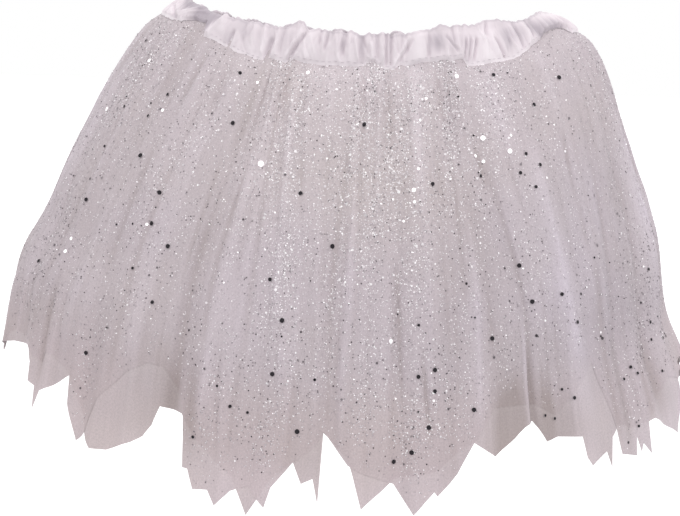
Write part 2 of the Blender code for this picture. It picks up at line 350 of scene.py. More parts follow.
SEQUIN_HEM = rows_of(
    Cut,
    (-94, 282), (-86.5, 298), (-80, 283), (-73, 270), (-66, 262), (-61, 267), (-60, 257), (-53.5, 262),
    (-53, 283), (-50.5, 305), (-48.5, 296), (-46.5, 268), (-42, 243), (-38, 230), (-35, 229),
    (-31, 250), (-30, 272), (-29.5, 290), (-28.5, 290), (-27.5, 303), (-25, 301), (-23.5, 310),
    (-21, 298), (-18, 292), (-16, 301), (-15, 305), (-14, 291), (-10.5, 273), (-7, 262), (-5.5, 251),
    (-1, 272), (1.5, 277), (7, 285), (10.5, 306), (14, 291), (14.5, 294), (18, 280), (21, 261),
    (25, 238), (33, 240), (37.5, 252), (42, 238), (47, 226), (49.5, 272), (50.5, 296), (55, 304),
    (55.5, 291), (56, 303), (56.5, 297), (57.5, 306), (58, 281), (67.5, 262), (72, 268), (77, 258),
    (84, 264), (90, 280),
)

PLAIN_HEM = rows_of(
    Cut,
    (-94, 272), (-86.5, 286), (-80, 276), (-73, 262), (-66, 258), (-63.5, 271), (-63, 284),
    (-61.5, 285), (-61, 302), (-60, 286), (-53.5, 264), (-50.5, 283), (-48.5, 296), (-46.5, 303),
    (-44, 300), (-42, 294), (-39.5, 287), (-37.5, 280), (-36, 270), (-35, 256), (-31, 256),
    (-27.5, 270), (-21, 289), (-18, 312), (-14, 285), (-10.5, 273), (-9, 287), (-7, 283), (-6, 300),
    (-5.5, 252), (-1, 268), (0, 280), (1.5, 301), (7, 282), (14, 278), (18, 266), (21, 260), (25, 271),
    (33, 252), (35, 268), (37.5, 267), (42, 272), (42.5, 287), (43.5, 294), (47, 289), (48, 302),
    (48.5, 281), (50.5, 275), (55, 284), (59.5, 283), (67.5, 305), (72, 275), (77, 262), (84, 260),
    (90, 276),
)

# Where the glitter is painted glinting and where it is painted as dark reflection.
SPARKLE_ZONES = rows_of(
    SparkleZone,
    (3.0, 20.0, 60, 150, 0.86, 0.28),
    (-15.0, 2.4, 120, 90, 0.55, 0.00),
    (-14.0, 3.0, 180, 40, 0.30, 0.12),
    (-10.0, 3.6, 40, 28, 0.50, 0.10),
    (9.0, 2.6, 80, 28, 0.35, 0.20),
    (14.0, 3.0, 22, 26, 0.40, 0.05),
    (40.0, 7.0, 20, 36, 0.75, 0.25),
    (28.0, 9.0, 40, 60, 0.30, 0.16),
    (25.0, 5.0, 95, 55, -0.28, -0.02),
    (28.0, 9.0, 170, 60, 0.08, 0.26),
    (5.0, 15.0, 255, 42, 0.34, 0.40),
    (-26.0, 9.0, 250, 40, 0.16, 0.26),
    (18.0, 4.0, 240, 26, 0.35, 0.05),
    (-38.0, 5.0, 45, 38, 0.30, 0.12),
    (-46.0, 5.0, 120, 110, 0.22, 0.30),
    (-65.0, 8.0, 38, 50, 0.80, 0.60),
    (-68.0, 8.0, 180, 80, 0.08, 0.70),
    (55.0, 6.0, 100, 70, -0.10, -0.03),
    (67.0, 9.0, 215, 60, 0.06, 0.90),
    (125.0, 22.0, 90, 130, 0.60, 0.40),
    (182.0, 24.0, 80, 140, 0.85, 0.25),
    (214.0, 4.0, 120, 90, 0.40, 0.20),
    (240.0, 20.0, 120, 120, 0.45, 0.60),
)

# Sequins painted as dark reflections.
DARK_SEQUINS = rows_of(
    Sequin,
    (10, 264, 3.2), (-10, 252, 3.3), (-14, 180, 3.3), (-44, 140, 3.2), (51, 28, 3.2), (-1, 44, 3.2),
    (33, 146, 3.1), (13, 248, 3.1), (-6, 128, 3.2), (-15, 216, 3.0), (-36, 54, 3.1), (-39, 150, 3.1),
    (-53, 100, 3.3), (-82, 140, 3.3), (34, 172, 3.1), (21, 238, 3.0), (7, 270, 3.1), (25, 192, 3.0),
    (14, 210, 3.0), (-45, 118, 3.0), (-51, 244, 3.0), (-70, 204, 3.1), (11, 214, 2.8), (-12, 94, 2.8),
    (-62, 146, 3.0), (43, 194, 2.8), (40, 172, 2.6), (44, 40, 2.8), (38, 12, 2.6), (14, 224, 2.7),
    (15, 86, 2.6), (-17, 154, 2.7), (-86, 248, 2.8), (41, 244, 2.6), (42, 82, 2.6), (40, 72, 2.5),
    (38, 84, 2.5), (-38, 18, 2.6), (-39, 190, 2.5), (-71, 24, 2.7), (40, 96, 2.3), (30, 82, 2.5),
    (-22, 242, 2.4), (-54, 52, 2.5), (75, 238, 2.4), (68, 182, 2.4), (11, 180, 2.0), (-56, 72, 2.2),
    (-45, 174, 2.0), (-64, 74, 2.2), (-64, 106, 2.0), (66, 256, 2.2), (66, 232, 2.2), (56, 284, 2.0),
    (-19, 244, 1.9), (-28, 268, 2.2), (57, 242, 2.3), (58, 248, 2.2), (55, 248, 2.1), (67, 220, 2.4),
    (35, 250, 2.0), (37, 254, 2.0), (71, 236, 2.6), (39, 236, 1.9),
)

# Sequins painted as white glints.
BRIGHT_SEQUINS = rows_of(
    Sequin,
    (-23, 78, 3.9), (33, 56, 3.5), (37, 68, 3.3), (-70, 82, 3.5), (30, 10, 3.1), (6, 190, 3.0),
    (11, 90, 2.9), (-13, 8, 2.8), (-64, 36, 2.9), (-62, 186, 2.8), (-62, 176, 2.6), (30, 68, 2.4),
    (32, 72, 2.4), (-53, 64, 2.4), (13, 42, 2.0), (11, 98, 2.0), (15, 26, 1.8), (12, 76, 1.8),
    (-34, 21, 2.0), (-45, 142, 2.0),
)

LOW_EDGE = rows_of(
    EdgeWave,
    (-90, 0.0), (-67, 0.0), (-61, 0.12), (-55, 0.36), (-48.6, 0.42), (-47.8, -0.04), (-45, 0.0),
    (-38, -0.05), (-32, -0.15), (-27.5, -0.2), (-25.5, 0.0), (-21, -0.1), (-19, 0.05), (-13, -0.05),
    (-6.5, -0.05), (-2, -0.05), (-0.5, 0.05), (1.5, 0.15), (4, -0.15), (6, -0.2), (8, 0.0), (10, 0.0),
    (15.5, 0.1), (24.5, 0.15), (26, -0.15), (29, -0.1), (36.5, -0.1), (39, -0.15), (42.5, -0.05),
    (47, 0.1), (51.5, 0.2), (55, 0.36), (61.5, 0.42), (67, 0.38), (72, 0.08), (90, 0.0),
)

TOP_EDGE = rows_of(
    EdgeWave,
    (-90, 0.9), (-64, 0.82), (-57, 0.77), (-49, 0.7), (-45, 0.74), (-38, 0.88), (-30.5, 0.94),
    (-24, 0.88), (-19.5, 1.15), (-17.5, 1.2), (-15.5, 0.9), (-13, 1.0), (-7.5, 0.9), (-4.5, 0.95),
    (-2.5, 0.85), (3, 0.9), (8, 0.85), (10.5, 0.9), (13, 0.95), (19, 1.15), (25, 1.15), (31.5, 1.2),
    (34, 1.3), (39.5, 1.21), (45, 1.02), (52, 0.98), (63, 1.12), (81, 0.9), (90, 0.95),
)

FRONT_PUCKERS = rows_of(
    Pucker,
    (-64.5, -76.0, 0.1, 0.5, 1.6, -1.4),
    (-65.0, -51.5, 0.25, 0.95, 1.6, 1.5),
    (-62.5, -50.0, 0.25, 0.85, 1.2, 1.0),
    (-64.5, -63.5, 0.45, 0.95, 0.9, -1.2),
    (-52.5, -51.5, 0.1, 0.8, 2.2, -1.3),
    (-46.8, -42.6, 0.0, 1.0, 0.8, 1.4),
    (-42.5, -42.0, 0.3, 1.0, 1.0, 0.8),
    (-38.5, -38.0, 0.0, 0.45, 0.6, -1.6),
    (-40.0, -39.0, 0.0, 0.4, 1.4, -0.7),
    (-34.5, -34.5, 0.3, 0.8, 0.9, -0.6),
    (-31.0, -31.5, 0.0, 0.9, 1.2, 0.9),
    (-28.0, -28.2, 0.0, 1.0, 0.6, 1.1),
    (-26.5, -25.5, -0.1, 0.5, 0.7, -2.2),
    (-24.6, -24.0, 0.1, 0.9, 0.5, 0.9),
    (-23.0, -22.4, 0.2, 1.0, 0.4, -0.8),
    (-21.0, -17.5, 0.0, 1.1, 0.5, 1.3),
    (-20.5, -16.5, 0.0, 0.85, 0.5, -1.8),
    (-15.0, -15.0, 0.1, 0.9, 1.5, 1.0),
    (-12.6, -12.2, 0.6, 1.0, 0.35, -0.9),
    (-10.9, -10.5, 0.45, 0.85, 0.4, -1.3),
    (-9.6, -9.4, 0.65, 1.0, 0.35, -0.8),
    (-7.6, -7.2, 0.1, 1.0, 0.5, 0.9),
    (-6.4, -6.2, 0.3, 0.9, 0.5, -1.0),
    (-4.6, -4.9, 0.0, 0.9, 0.5, 0.7),
    (-2.5, -3.5, 0.15, 0.8, 0.45, 1.1),
    (-1.5, -2.0, 0.0, 0.8, 0.8, -1.1),
    (1.0, 0.6, 0.1, 0.6, 0.5, 1.3),
    (2.2, 2.0, 0.2, 0.9, 0.5, -1.0),
    (4.5, 4.4, 0.0, 0.9, 0.4, -1.8),
    (5.5, 5.5, 0.0, 0.9, 0.4, -1.8),
    (6.0, 10.0, -0.15, 0.8, 0.5, 1.4),
    (7.8, 11.0, 0.1, 0.7, 0.4, -0.9),
    (12.6, 12.8, 0.1, 0.9, 1.6, 1.3),
    (15.2, 15.6, 0.2, 0.9, 0.5, -1.0),
    (18.0, 18.0, 0.35, 0.95, 1.6, -0.6),
    (20.5, 19.6, 0.1, 0.7, 0.6, 0.8),
    (23.0, 20.5, 0.4, 0.8, 0.4, -1.2),
    (22.4, 22.2, 0.6, 1.1, 0.35, -1.0),
    (23.8, 23.6, 0.1, 1.1, 0.35, 0.9),
    (25.0, 26.0, 0.1, 0.7, 0.4, -1.8),
    (26.0, 27.2, 0.05, 0.7, 0.35, -1.6),
    (27.5, 29.0, 0.1, 0.7, 0.35, -1.5),
    (31.5, 31.0, 0.0, 0.8, 1.7, 1.3),
    (35.0, 34.6, 0.1, 0.8, 1.0, 0.9),
    (32.5, 33.5, 0.85, 1.2, 0.5, -1.3),
    (37.0, 35.0, 0.0, 0.65, 0.5, -1.7),
    (42.0, 40.0, 0.0, 0.55, 0.4, 1.2),
    (44.0, 43.4, 0.1, 1.0, 0.6, -1.1),
    (48.0, 46.5, 0.1, 0.85, 1.0, 1.4),
    (52.0, 51.0, 0.1, 0.9, 1.2, -1.2),
    (56.0, 57.0, 0.1, 0.9, 1.0, 0.8),
    (61.0, 60.0, 0.1, 0.8, 1.6, -1.0),
)

# Patches of painted sheen and painted shade on the front of the satin.
FRONT_GLEAMS = rows_of(
    Gleam,
    (-71.0, 0.5, 4.0, 0.5, 0.4),
    (-61.0, 1.0, 8.0, 0.30, -2.2),
    (-67.0, 0.9, 5.0, 0.30, -0.7),
    (-50.0, 0.9, 5.0, 0.30, -0.5),
    (-66.0, 0.2, 4.0, 0.25, -0.4),
    (-53.0, 0.5, 4.4, 0.34, -1.2),
    (-48.6, 0.3, 1.3, 0.3, -0.9),
    (-47.2, 0.65, 1.8, 0.3, -1.1),
    (-42.8, 0.8, 1.0, 0.3, 0.4),
    (-39.5, 0.1, 1.5, 0.25, -0.4),
    (-34.5, 0.55, 1.2, 0.25, -0.2),
    (-15.0, 0.5, 2.2, 0.5, 0.2),
    (-7.0, 0.55, 1.1, 0.22, -0.35),
    (-1.7, 0.4, 0.8, 0.4, -0.3),
    (-2.0, 0.4, 16.0, 0.6, 0.16),
    (12.5, 0.5, 2.5, 0.5, 0.35),
    (17.8, 0.65, 2.4, 0.28, -0.6),
    (32.5, 0.4, 3.4, 0.6, 0.45),
    (39.0, 0.5, 2.0, 0.5, -0.4),
    (47.0, 0.5, 1.2, 0.4, 0.3),
    (47.0, 0.65, 9.0, 0.5, -0.32),
    (55.0, 0.45, 5.0, 0.35, -0.8),
    (64.0, 0.4, 5.0, 0.3, -0.7),
    (78.0, 0.95, 14.0, 0.18, 0.8),
)


# ---- Small helpers ----


def smooth(value: Array) -> Array:
    """Ease values from 0 to 1."""
    clipped = np.clip(value, 0.0, 1.0)
    return clipped * clipped * (3.0 - 2.0 * clipped)


def wrapped(degrees: Array) -> Array:
    """Bring angles into the half turn either side of the front."""
    return (degrees + TURN / 2.0) % TURN - TURN / 2.0


def bell(offset: Array, width: float) -> Array:
    """Return a soft bump of the given width about nought."""
    return np.exp(-((offset / width) ** 2))


def waves(degrees: Array, count: float, start: Array | float = 0.0) -> Array:
    """Return a wave that goes a number of times round the skirt, from -1 to 1."""
    return np.sin(np.radians(count * degrees) + start)


def window(value: Array, start: float, stop: float, ease: float) -> Array:
    """Return 1 between start and stop, eased off at both ends."""
    return smooth((value - start) / ease + 0.5) * smooth((stop - value) / ease + 0.5)


def around(degrees: Array, table_degrees: Sequence[float], values: Sequence[float]) -> Array:
    """Interpolate a table that goes once round the skirt.

    Args:
        degrees: Angles to read at.
        table_degrees: The table's angles, rising, within one turn.
        values: The table's values.

    Returns:
        The value at each angle.
    """
    start = table_degrees[0]
    knots = [*table_degrees, start + TURN]
    return np.interp((degrees - start) % TURN + start, knots, [*values, values[0]])


def scaled(vectors: Array, lengths: Array) -> Array:
    """Multiply each vector by its own length."""
    return vectors * lengths[..., None]


def laid_turns(run: Array, out: Array) -> Array:
    """Return the Euler turns that lay a shape's X along run and its Z along out.

    Args:
        run: The directions that the copies' X take.
        out: The directions that their Z take.

    Returns:
        The turns about X, Y and Z, in radians, with the axes last.
    """
    z_axis = out / np.linalg.norm(out, axis=-1, keepdims=True)
    y_axis = np.cross(z_axis, run)
    y_axis /= np.linalg.norm(y_axis, axis=-1, keepdims=True)
    x_axis = np.cross(y_axis, z_axis)
    roll = np.arctan2(y_axis[:, 2], z_axis[:, 2])
    tip = -np.arcsin(np.clip(x_axis[:, 2], -1.0, 1.0))
    return np.stack((roll, tip, np.arctan2(x_axis[:, 1], x_axis[:, 0])), -1)


@dataclass(frozen=True)
class Ramp:
    """An eased climb from 0 to 1 that begins at a value and takes a length."""

    start: float
    length: float

    def at(self, value: Array) -> Array:
        """Return how far up the climb each value is."""
        return smooth((value - self.start) / self.length)


@dataclass(frozen=True)
class Patch:
    """A soft patch about an angle."""

    deg: float
    width_deg: float

    def at(self, degrees: Array) -> Array:
        """Return how much of the patch lies at each angle."""
        return bell(wrapped(degrees - self.deg), self.width_deg)


@dataclass(frozen=True)
class Frill:
    """One wave of a frilled edge, whose pace itself comes and goes."""

    height: float
    count: float
    swing: float
    swing_count: float

    def at(self, degrees: Array) -> Array:
        """Return the wave's height at each angle."""
        phase = np.radians(self.count * degrees) + self.swing * waves(degrees, self.swing_count)
        return self.height * np.cos(phase)


# ---- The form of the skirt ----


@dataclass
class SeamLine:
    """The line along which the casing and the nets meet; it rides up at the hips."""

    half_width: float = 0.158
    half_depth: float = 0.116
    ease_deg: int = 4
    ease_rounds: int = 2
    lean_side: float = 60.0
    lean_front: float = 15.0
    gap: float = 0.0004

    def __post_init__(self) -> None:
        """Lay the seam's heights out at every degree and round off the corners at the rows."""
        self.turn = np.arange(-180.0, 180.0)
        rows = [row.deg for row in SEAM_ROWS], [row.up_mm * MM for row in SEAM_ROWS]
        self.height = np.interp(self.turn, *rows, period=TURN)
        for _ in range(self.ease_rounds):
            shifts = range(-self.ease_deg, self.ease_deg + 1)
            self.height = np.mean([np.roll(self.height, shift) for shift in shifts], axis=0)

    def point(self, angle: Array) -> tuple[Array, Array]:
        """Return the seam's points and their level outward directions.

        Args:
            angle: Angles round the skirt, in radians, nought at the front.

        Returns:
            The points and the directions, with the coordinates on the last axis.
        """
        across, ahead = np.sin(angle), np.cos(angle)
        height = np.interp(np.degrees(angle), self.turn, self.height, period=TURN)
        point = np.stack((self.half_width * across, -self.half_depth * ahead, height), -1)
        out = np.stack((across / self.half_width, -ahead / self.half_depth, 0.0 * across), -1)
        return point, out / np.linalg.norm(out, axis=-1, keepdims=True)

    def band_frame(self, angle: Array) -> tuple[Array, Array, Array]:
        """Return the seam's points, the way up the casing and the casing's outward direction.

        Args:
            angle: Angles round the skirt, in radians, nought at the front.

        Returns:
            The points and the two directions, with the coordinates on the last axis.
        """
        point, out = self.point(angle)
        lean = np.radians(self.lean_front + (self.lean_side - self.lean_front) * np.sin(angle) ** 2)
        rise = np.zeros_like(out)
        rise[..., 2] = 1.0
        up = scaled(rise, np.cos(lean)) - scaled(out, np.sin(lean))
        return point, up, scaled(out, np.cos(lean)) + scaled(rise, np.sin(lean))


@dataclass
class Drape:
    """The flared, piped form that the net takes when the skirt is worn."""

    seam: SeamLine = field(default_factory=SeamLine)
    profile_step: float = 0.005
    profile_length: float = 0.330
    turn_length: float = 0.190
    growth_length: float = 0.150
    hem_share: float = 0.55
    pipe_share: float = 0.5
    bell_reach: float = 3.0
    gathers: int = 84
    gather_depth: float = 0.0019
    gather_peak: float = 0.026
    gather_fade: float = 0.100
    gather_at_seam: float = 0.25
    back_from: float = 90.0
    back_to: float = 266.0
    back_troughs: int = 17
    back_depth_mm: float = 11.0
    back_depth_swing_mm: float = 3.5
    back_width_deg: float = 2.7
    back_width_swing_deg: float = 0.4
    back_start_mm: float = 30.0
    back_start_swing_mm: float = 24.0
    back_sway_deg: float = 1.6
    back_folds: int = 118
    back_fold_seed: int = 23
    back_fold_from: float = 82.0
    back_fold_span: float = 192.0
    back_fold_start_mm: Range = (-10.0, 200.0)
    back_fold_length_mm: Range = (40.0, 120.0)
    back_fold_strength: Range = (0.2, 0.8)
    back_fold_shift_deg: float = 0.7
    back_fold_least_mm: float = 0.6
    back_fold_gain_mm: float = 1.6
    narrow_fold_deg: Range = (0.5, 1.2)
    wide_fold_deg: Range = (1.8, 3.0)
    # Painted light on the ridges and painted shade in the hollows of the drawn folds.
    ridge_light: float = 0.7
    fold_hollow_shade: float = 0.9
    fine_folds: int = 420
    fine_seed: int = 41
    fine_height_mm: float = 0.7
    fine_strength: Range = (0.3, 1.0)
    fine_start_mm: Range = (-20.0, 230.0)
    fine_length_mm: Range = (40.0, 130.0)
    fine_width_deg: Range = (0.3, 0.6)
    fine_shift_deg: float = 0.5
    # Painted light or shade of the fine creases, by their height.
    fine_crease_shading: float = 0.22
    fold_ease: float = 0.034
    fold_root: float = 0.02
    fold_at_seam: float = 0.2
    flutter: float = 0.0017
    flutter_from: float = 0.190
    flutter_growth: float = 0.12

    def __post_init__(self) -> None:
        """Work out the tables that every point needs."""
        self.troughs = [*FRONT_TROUGHS, *self._back_troughs()]
        self.folds = [*FRONT_FOLDS, *self._back_folds(), *self._fine_folds()]
        self.down, self.profiles = self._profiles()

    def _back_troughs(self) -> list[Trough]:
        """Return the troughs of the back, set out evenly and swayed a little.

        Returns:
            The rows, whose sways run at unequal paces so that no two troughs match.
        """
        step = (self.back_to - self.back_from) / (self.back_troughs - 1)
        rows = []
        for k in range(self.back_troughs):
            seam = self.back_from + k * step
            hem = seam + self.back_sway_deg * sin(2.1 * k + 0.6)
            depth = self.back_depth_mm + self.back_depth_swing_mm * sin(2.6 * k + 1.0)
            width = self.back_width_deg + self.back_width_swing_deg * sin(3.1 * k)
            start = self.back_start_mm + self.back_start_swing_mm * sin(1.7 * k)
            rows.append(Trough(seam, hem, depth, start, width))
        return rows

    def _back_folds(self) -> list[Fold]:
        """Return folds for the hidden sides, like those of the front.

        Returns:
            The rows, ridges and hollows by turns, with every fifth one wide.
        """
        draw = np.random.default_rng(self.back_fold_seed)
        rows = []
        for k in range(self.back_folds):
            deg = self.back_fold_from + self.back_fold_span * (k + draw.uniform(*JITTER)) / self.back_folds
            start = draw.uniform(*self.back_fold_start_mm)
            stop = start + draw.uniform(*self.back_fold_length_mm)
            sign, tone = (-1.0, self.fold_hollow_shade) if k % 2 else (1.0, self.ridge_light)
            strength = draw.uniform(*self.back_fold_strength)
            width = draw.uniform(*(self.narrow_fold_deg if k % 5 else self.wide_fold_deg))
            shift = draw.normal(0.0, self.back_fold_shift_deg)
            height = sign * (self.back_fold_least_mm + self.back_fold_gain_mm * strength)
            rows.append(Fold(deg, deg + shift, start, stop, height, width, sign * strength * tone))
        return rows

    def _fine_folds(self) -> list[Fold]:
        """Return the many fine creases that net keeps from being gathered.

        Returns:
            The rows, narrower and lower than the other folds.
        """
        draw = np.random.default_rng(self.fine_seed)
        rows = []
        for _ in range(self.fine_folds):
            deg, start = draw.uniform(0.0, TURN), draw.uniform(*self.fine_start_mm)
            height = self.fine_height_mm * draw.uniform(*self.fine_strength) * draw.choice((-1.0, 1.0))
            shift, width = draw.normal(0.0, self.fine_shift_deg), draw.uniform(*self.fine_width_deg)
            stop = start + draw.uniform(*self.fine_length_mm)
            tone = self.fine_crease_shading * height / self.fine_height_mm
            rows.append(Fold(deg, deg + shift, start, stop, height, width, tone))
        return rows

    def _profiles(self) -> tuple[Array, list[tuple[Array, Array, Array]]]:
        """Integrate the slopes into the reach outwards and the drop down the cloth.

        Returns:
            The distances down the cloth and, for each side, the reach, the drop and the slope.
        """
        down = np.arange(0.0, self.profile_length, self.profile_step)
        tables = []
        for side in ("left", "front", "right", "back"):
            slopes = [getattr(row, side) for row in SLOPES]
            lean = np.radians(np.interp(down / MM, [row.down_mm for row in SLOPES], slopes))
            middle = (lean[1:] + lean[:-1]) / 2.0
            reach = np.concatenate([[0.0], np.cumsum(np.sin(middle)) * self.profile_step])
            drop = np.concatenate([[0.0], np.cumsum(np.cos(middle)) * self.profile_step])
            tables.append((reach, drop, lean))
        return down, tables

    def pipes(self, hem_deg: Array, down: Array) -> Array:
        """Return the height of the main pipes and troughs, in metres, nought on a pipe's crown.

        Args:
            hem_deg: The angle at which each point's thread ends at the hem.
            down: The distance down the cloth from the seam, in metres.

        Returns:
            The height at each place.
        """
        height = np.zeros(np.broadcast(hem_deg, down).shape)
        for row in self.troughs:
            off = wrapped(hem_deg - row.hem_deg)
            grown = smooth((down - row.start_mm * MM) / self.growth_length)
            growth = grown * (self.hem_share + (1.0 - self.hem_share) * down / self.profile_length)
            height = height - row.depth_mm * MM * growth * bell(off, row.width_deg)
        return height * self.pipe_share

    def creased(self, hem_deg: Array, down: Array) -> tuple[Array, Array]:
        """Return the height of the folds, in metres, and the painted light or shade that they lay on the
        net.

        Args:
            hem_deg: The angle at which each point's thread ends at the hem.
            down: The distance down the cloth from the seam, in metres.

        Returns:
            The height and the tone at each place.
        """
        hem_deg, down = np.broadcast_arrays(hem_deg, down)
        height, tone = np.zeros(down.shape), np.zeros(down.shape)
        flat_deg = hem_deg[0] if hem_deg.ndim > 1 else hem_deg
        for row in self.folds:
            reach = self.bell_reach * row.width_deg + abs(row.low_deg - row.top_deg)
            near = np.flatnonzero(np.abs(wrapped(flat_deg - row.top_deg)) < reach)
            below = down[..., near]
            run = np.clip((below / MM - row.from_mm) / (row.to_mm - row.from_mm), 0.0, 1.0)
            off = wrapped(hem_deg[..., near] - row.top_deg - (row.low_deg - row.top_deg) * run)
            swell = window(below, row.from_mm * MM, row.to_mm * MM, self.fold_ease)
            swell = swell * bell(off, row.width_deg)
            height[..., near] += row.height_mm * MM * swell
            tone[..., near] += row.tone * swell
        return height, tone

    def ripple(self, hem_deg: Array, down: Array) -> Array:
        """Return the height of the gathers at the seam and of the flutter at the hem.

        Args:
            hem_deg: The angle at which each point's thread ends at the hem.
            down: The distance down the cloth from the seam, in metres.

        Returns:
            The height at each place, in metres.
        """
        grown = self.gather_at_seam + (1.0 - self.gather_at_seam) * down / self.gather_peak
        rise = smooth(grown) * (1.0 - smooth((down - self.gather_peak) / self.gather_fade))
        phase = np.radians(self.gathers * hem_deg) + 1.6 * waves(hem_deg, 5.0)
        uneven = 0.7 + 0.3 * waves(hem_deg, 17.0, 0.8)
        swing = waves(hem_deg, 23.0, 9.0 * down / self.profile_length)
        swing = swing + 0.6 * waves(hem_deg, 61.0, 1.3)
        flutter = self.flutter * swing * smooth((down - self.flutter_from) / self.flutter_growth)
        return self.gather_depth / 2.0 * rise * uneven * np.cos(phase) + flutter

    def place(self, hem_deg: Array, down: Array, inset: Array) -> Array:
        """Return points of the net.

        Args:
            hem_deg: The angle at which each point's thread ends at the hem.
            down: The distance down the cloth from the seam, in metres, below nought in the casing.
            inset: How far below the casing's face each point lies, in metres.

        Returns:
            The points, with the coordinates on the last axis.
        """
        turn = smooth(down / self.turn_length)
        shift = around(
            hem_deg,
            [row.hem_deg for row in self.troughs],
            [row.seam_deg - row.hem_deg for row in self.troughs],
        )
        angle = np.radians(hem_deg + shift * (1.0 - turn))
        point, out = self.seam.point(angle)
        across, ahead = np.sin(angle), np.cos(angle)
        shares = (
            np.maximum(-across, 0) ** 2,
            np.maximum(ahead, 0) ** 2,
            np.maximum(across, 0) ** 2,
            np.maximum(-ahead, 0) ** 2,
        )
        below = np.maximum(down, 0.0)
        reach, drop, lean = (
            sum(s * np.interp(below, self.down, t[k]) for s, t in zip(shares, self.profiles))
            for k in range(3)
        )
        up = np.zeros_like(out)
        up[..., 2] = 1.0
        normal = scaled(out, np.cos(lean)) + scaled(up, np.sin(lean))
        point = point + scaled(out, reach) - scaled(up, drop + self.seam.gap)
        point = point + scaled(self.seam.band_frame(angle)[1], np.maximum(-down, 0.0))
        rooted = smooth(down / self.fold_root + self.fold_at_seam)
        height = self.pipes(hem_deg, down) + self.creased(hem_deg, down)[0] * rooted
        return point + scaled(normal, height + self.ripple(hem_deg, down) - inset)


# ---- Mesh making ----


def meshed(name: str, bm: bmesh.types.BMesh) -> bpy.types.Mesh:
    """Turn a bmesh into a mesh.

    Args:
        name: The mesh's name.
        bm: The bmesh, which is freed.

    Returns:
        The mesh.
    """
    mesh = bpy.data.meshes.new(name)
    bm.to_mesh(mesh)
    bm.free()
    return mesh


def shown(name: str, data: bpy.types.ID) -> bpy.types.Object:
    """Put a new object into the scene.

    Args:
        name: The object's name.
        data: Its mesh, light or camera.

    Returns:
        The object.
    """
    thing = bpy.data.objects.new(name, data)
    bpy.context.scene.collection.objects.link(thing)
    return thing


@dataclass
class TubeGrid:
    """A grid of cloth that goes once round, welded where it meets itself."""

    name: str
    points: Array
    weave: Array
    masks: dict[str, Array]

    def build(self) -> bpy.types.Object:
        """Make the object from a plain grid, moved to the points, with its weave's UV map.

        Returns:
            The new object, linked to the scene.
        """
        rows, columns = self.points.shape[:2]
        bm = bmesh.new()
        bmesh.ops.create_grid(bm, x_segments=columns - 1, y_segments=rows - 1, size=1.0)
        uv = bm.loops.layers.uv.new("weave")
        layers = {name: bm.verts.layers.float.new(name) for name in self.masks}
        place = {}
        for vert in bm.verts:
            column = round((vert.co.x + 1.0) / 2.0 * (columns - 1))
            row = round((vert.co.y + 1.0) / 2.0 * (rows - 1))
            place[vert] = (row, column)
            vert.co = self.points[row, column]
            for name, layer in layers.items():
                vert[layer] = float(self.masks[name][row, column])
        for face in bm.faces:
            for loop in face.loops:
                loop[uv].uv = self.weave[place[loop.vert]]
        bmesh.ops.reverse_faces(bm, faces=bm.faces)
        bmesh.ops.remove_doubles(bm, verts=bm.verts, dist=WELD)
        mesh = meshed(self.name, bm)
        mesh.shade_smooth()
        return shown(self.name, mesh)


@dataclass
class Strewn:
    """Many copies of one small shape, set out on the cloth and joined into one mesh."""

    name: str
    shape: bpy.types.Mesh
    sites: Array
    turns: Array
    sizes: Array
    tones: Array

    def _nodes(self, material: bpy.types.Material, pattern: bpy.types.Object) -> bpy.types.NodeTree:
        """Return the node tree that puts the shape on every point and realizes it.

        Args:
            material: The finish of the copies.
            pattern: The object that is copied.

        Returns:
            The node tree.
        """
        tree = bpy.data.node_groups.new(f"{self.name}_strew", "GeometryNodeTree")
        tree.interface.new_socket("Geometry", in_out="INPUT", socket_type="NodeSocketGeometry")
        tree.interface.new_socket("Geometry", in_out="OUTPUT", socket_type="NodeSocketGeometry")
        nodes, links = tree.nodes, tree.links
        source, result = nodes.new("NodeGroupInput"), nodes.new("NodeGroupOutput")
        info = nodes.new("GeometryNodeObjectInfo")
        info.inputs["Object"].default_value = pattern
        read = {}
        for name, kind in (("turn", "FLOAT_VECTOR"), ("size", "FLOAT")):
            read[name] = nodes.new("GeometryNodeInputNamedAttribute")
            read[name].data_type = kind
            read[name].inputs["Name"].default_value = name
        spread = nodes.new("GeometryNodeInstanceOnPoints")
        realize = nodes.new("GeometryNodeRealizeInstances")
        dress = nodes.new("GeometryNodeSetMaterial")
        dress.inputs["Material"].default_value = material
        links.new(source.outputs[0], spread.inputs["Points"])
        links.new(info.outputs["Geometry"], spread.inputs["Instance"])
        links.new(read["turn"].outputs["Attribute"], spread.inputs["Rotation"])
        links.new(read["size"].outputs["Attribute"], spread.inputs["Scale"])
        links.new(spread.outputs["Instances"], realize.inputs["Geometry"])
        links.new(realize.outputs["Geometry"], dress.inputs["Geometry"])
        links.new(dress.outputs["Geometry"], result.inputs[0])
        return tree

    def build(self, material: bpy.types.Material) -> bpy.types.Object:
        """Join the copies into one mesh.

        Args:
            material: The finish of the copies, which reads their tone.

        Returns:
            The new object, linked to the scene.
        """
        bm = bmesh.new()
        for site in self.sites:
            bm.verts.new(site)
        points = meshed(f"{self.name}_sites", bm)
        turns = points.attributes.new("turn", "FLOAT_VECTOR", "POINT").data
        turns.foreach_set("vector", self.turns.astype(np.float32).ravel())
        for name, values in (("size", self.sizes), ("tone", self.tones)):
            data = points.attributes.new(name, "FLOAT", "POINT").data
            data.foreach_set("value", values.astype(np.float32))
        pattern = shown(f"{self.name}_pattern", self.shape)
        cloud = shown(self.name, points)
        modifier = cloud.modifiers.new("strew", "NODES")
        modifier.node_group = self._nodes(material, pattern)
        ready = cloud.evaluated_get(bpy.context.evaluated_depsgraph_get())
        joined = bpy.data.meshes.new_from_object(ready)
        bpy.data.objects.remove(cloud)
        bpy.data.objects.remove(pattern)
        for spare in ("turn", "size"):
            if spare in joined.attributes:
                joined.attributes.remove(joined.attributes[spare])
        return shown(self.name, joined)


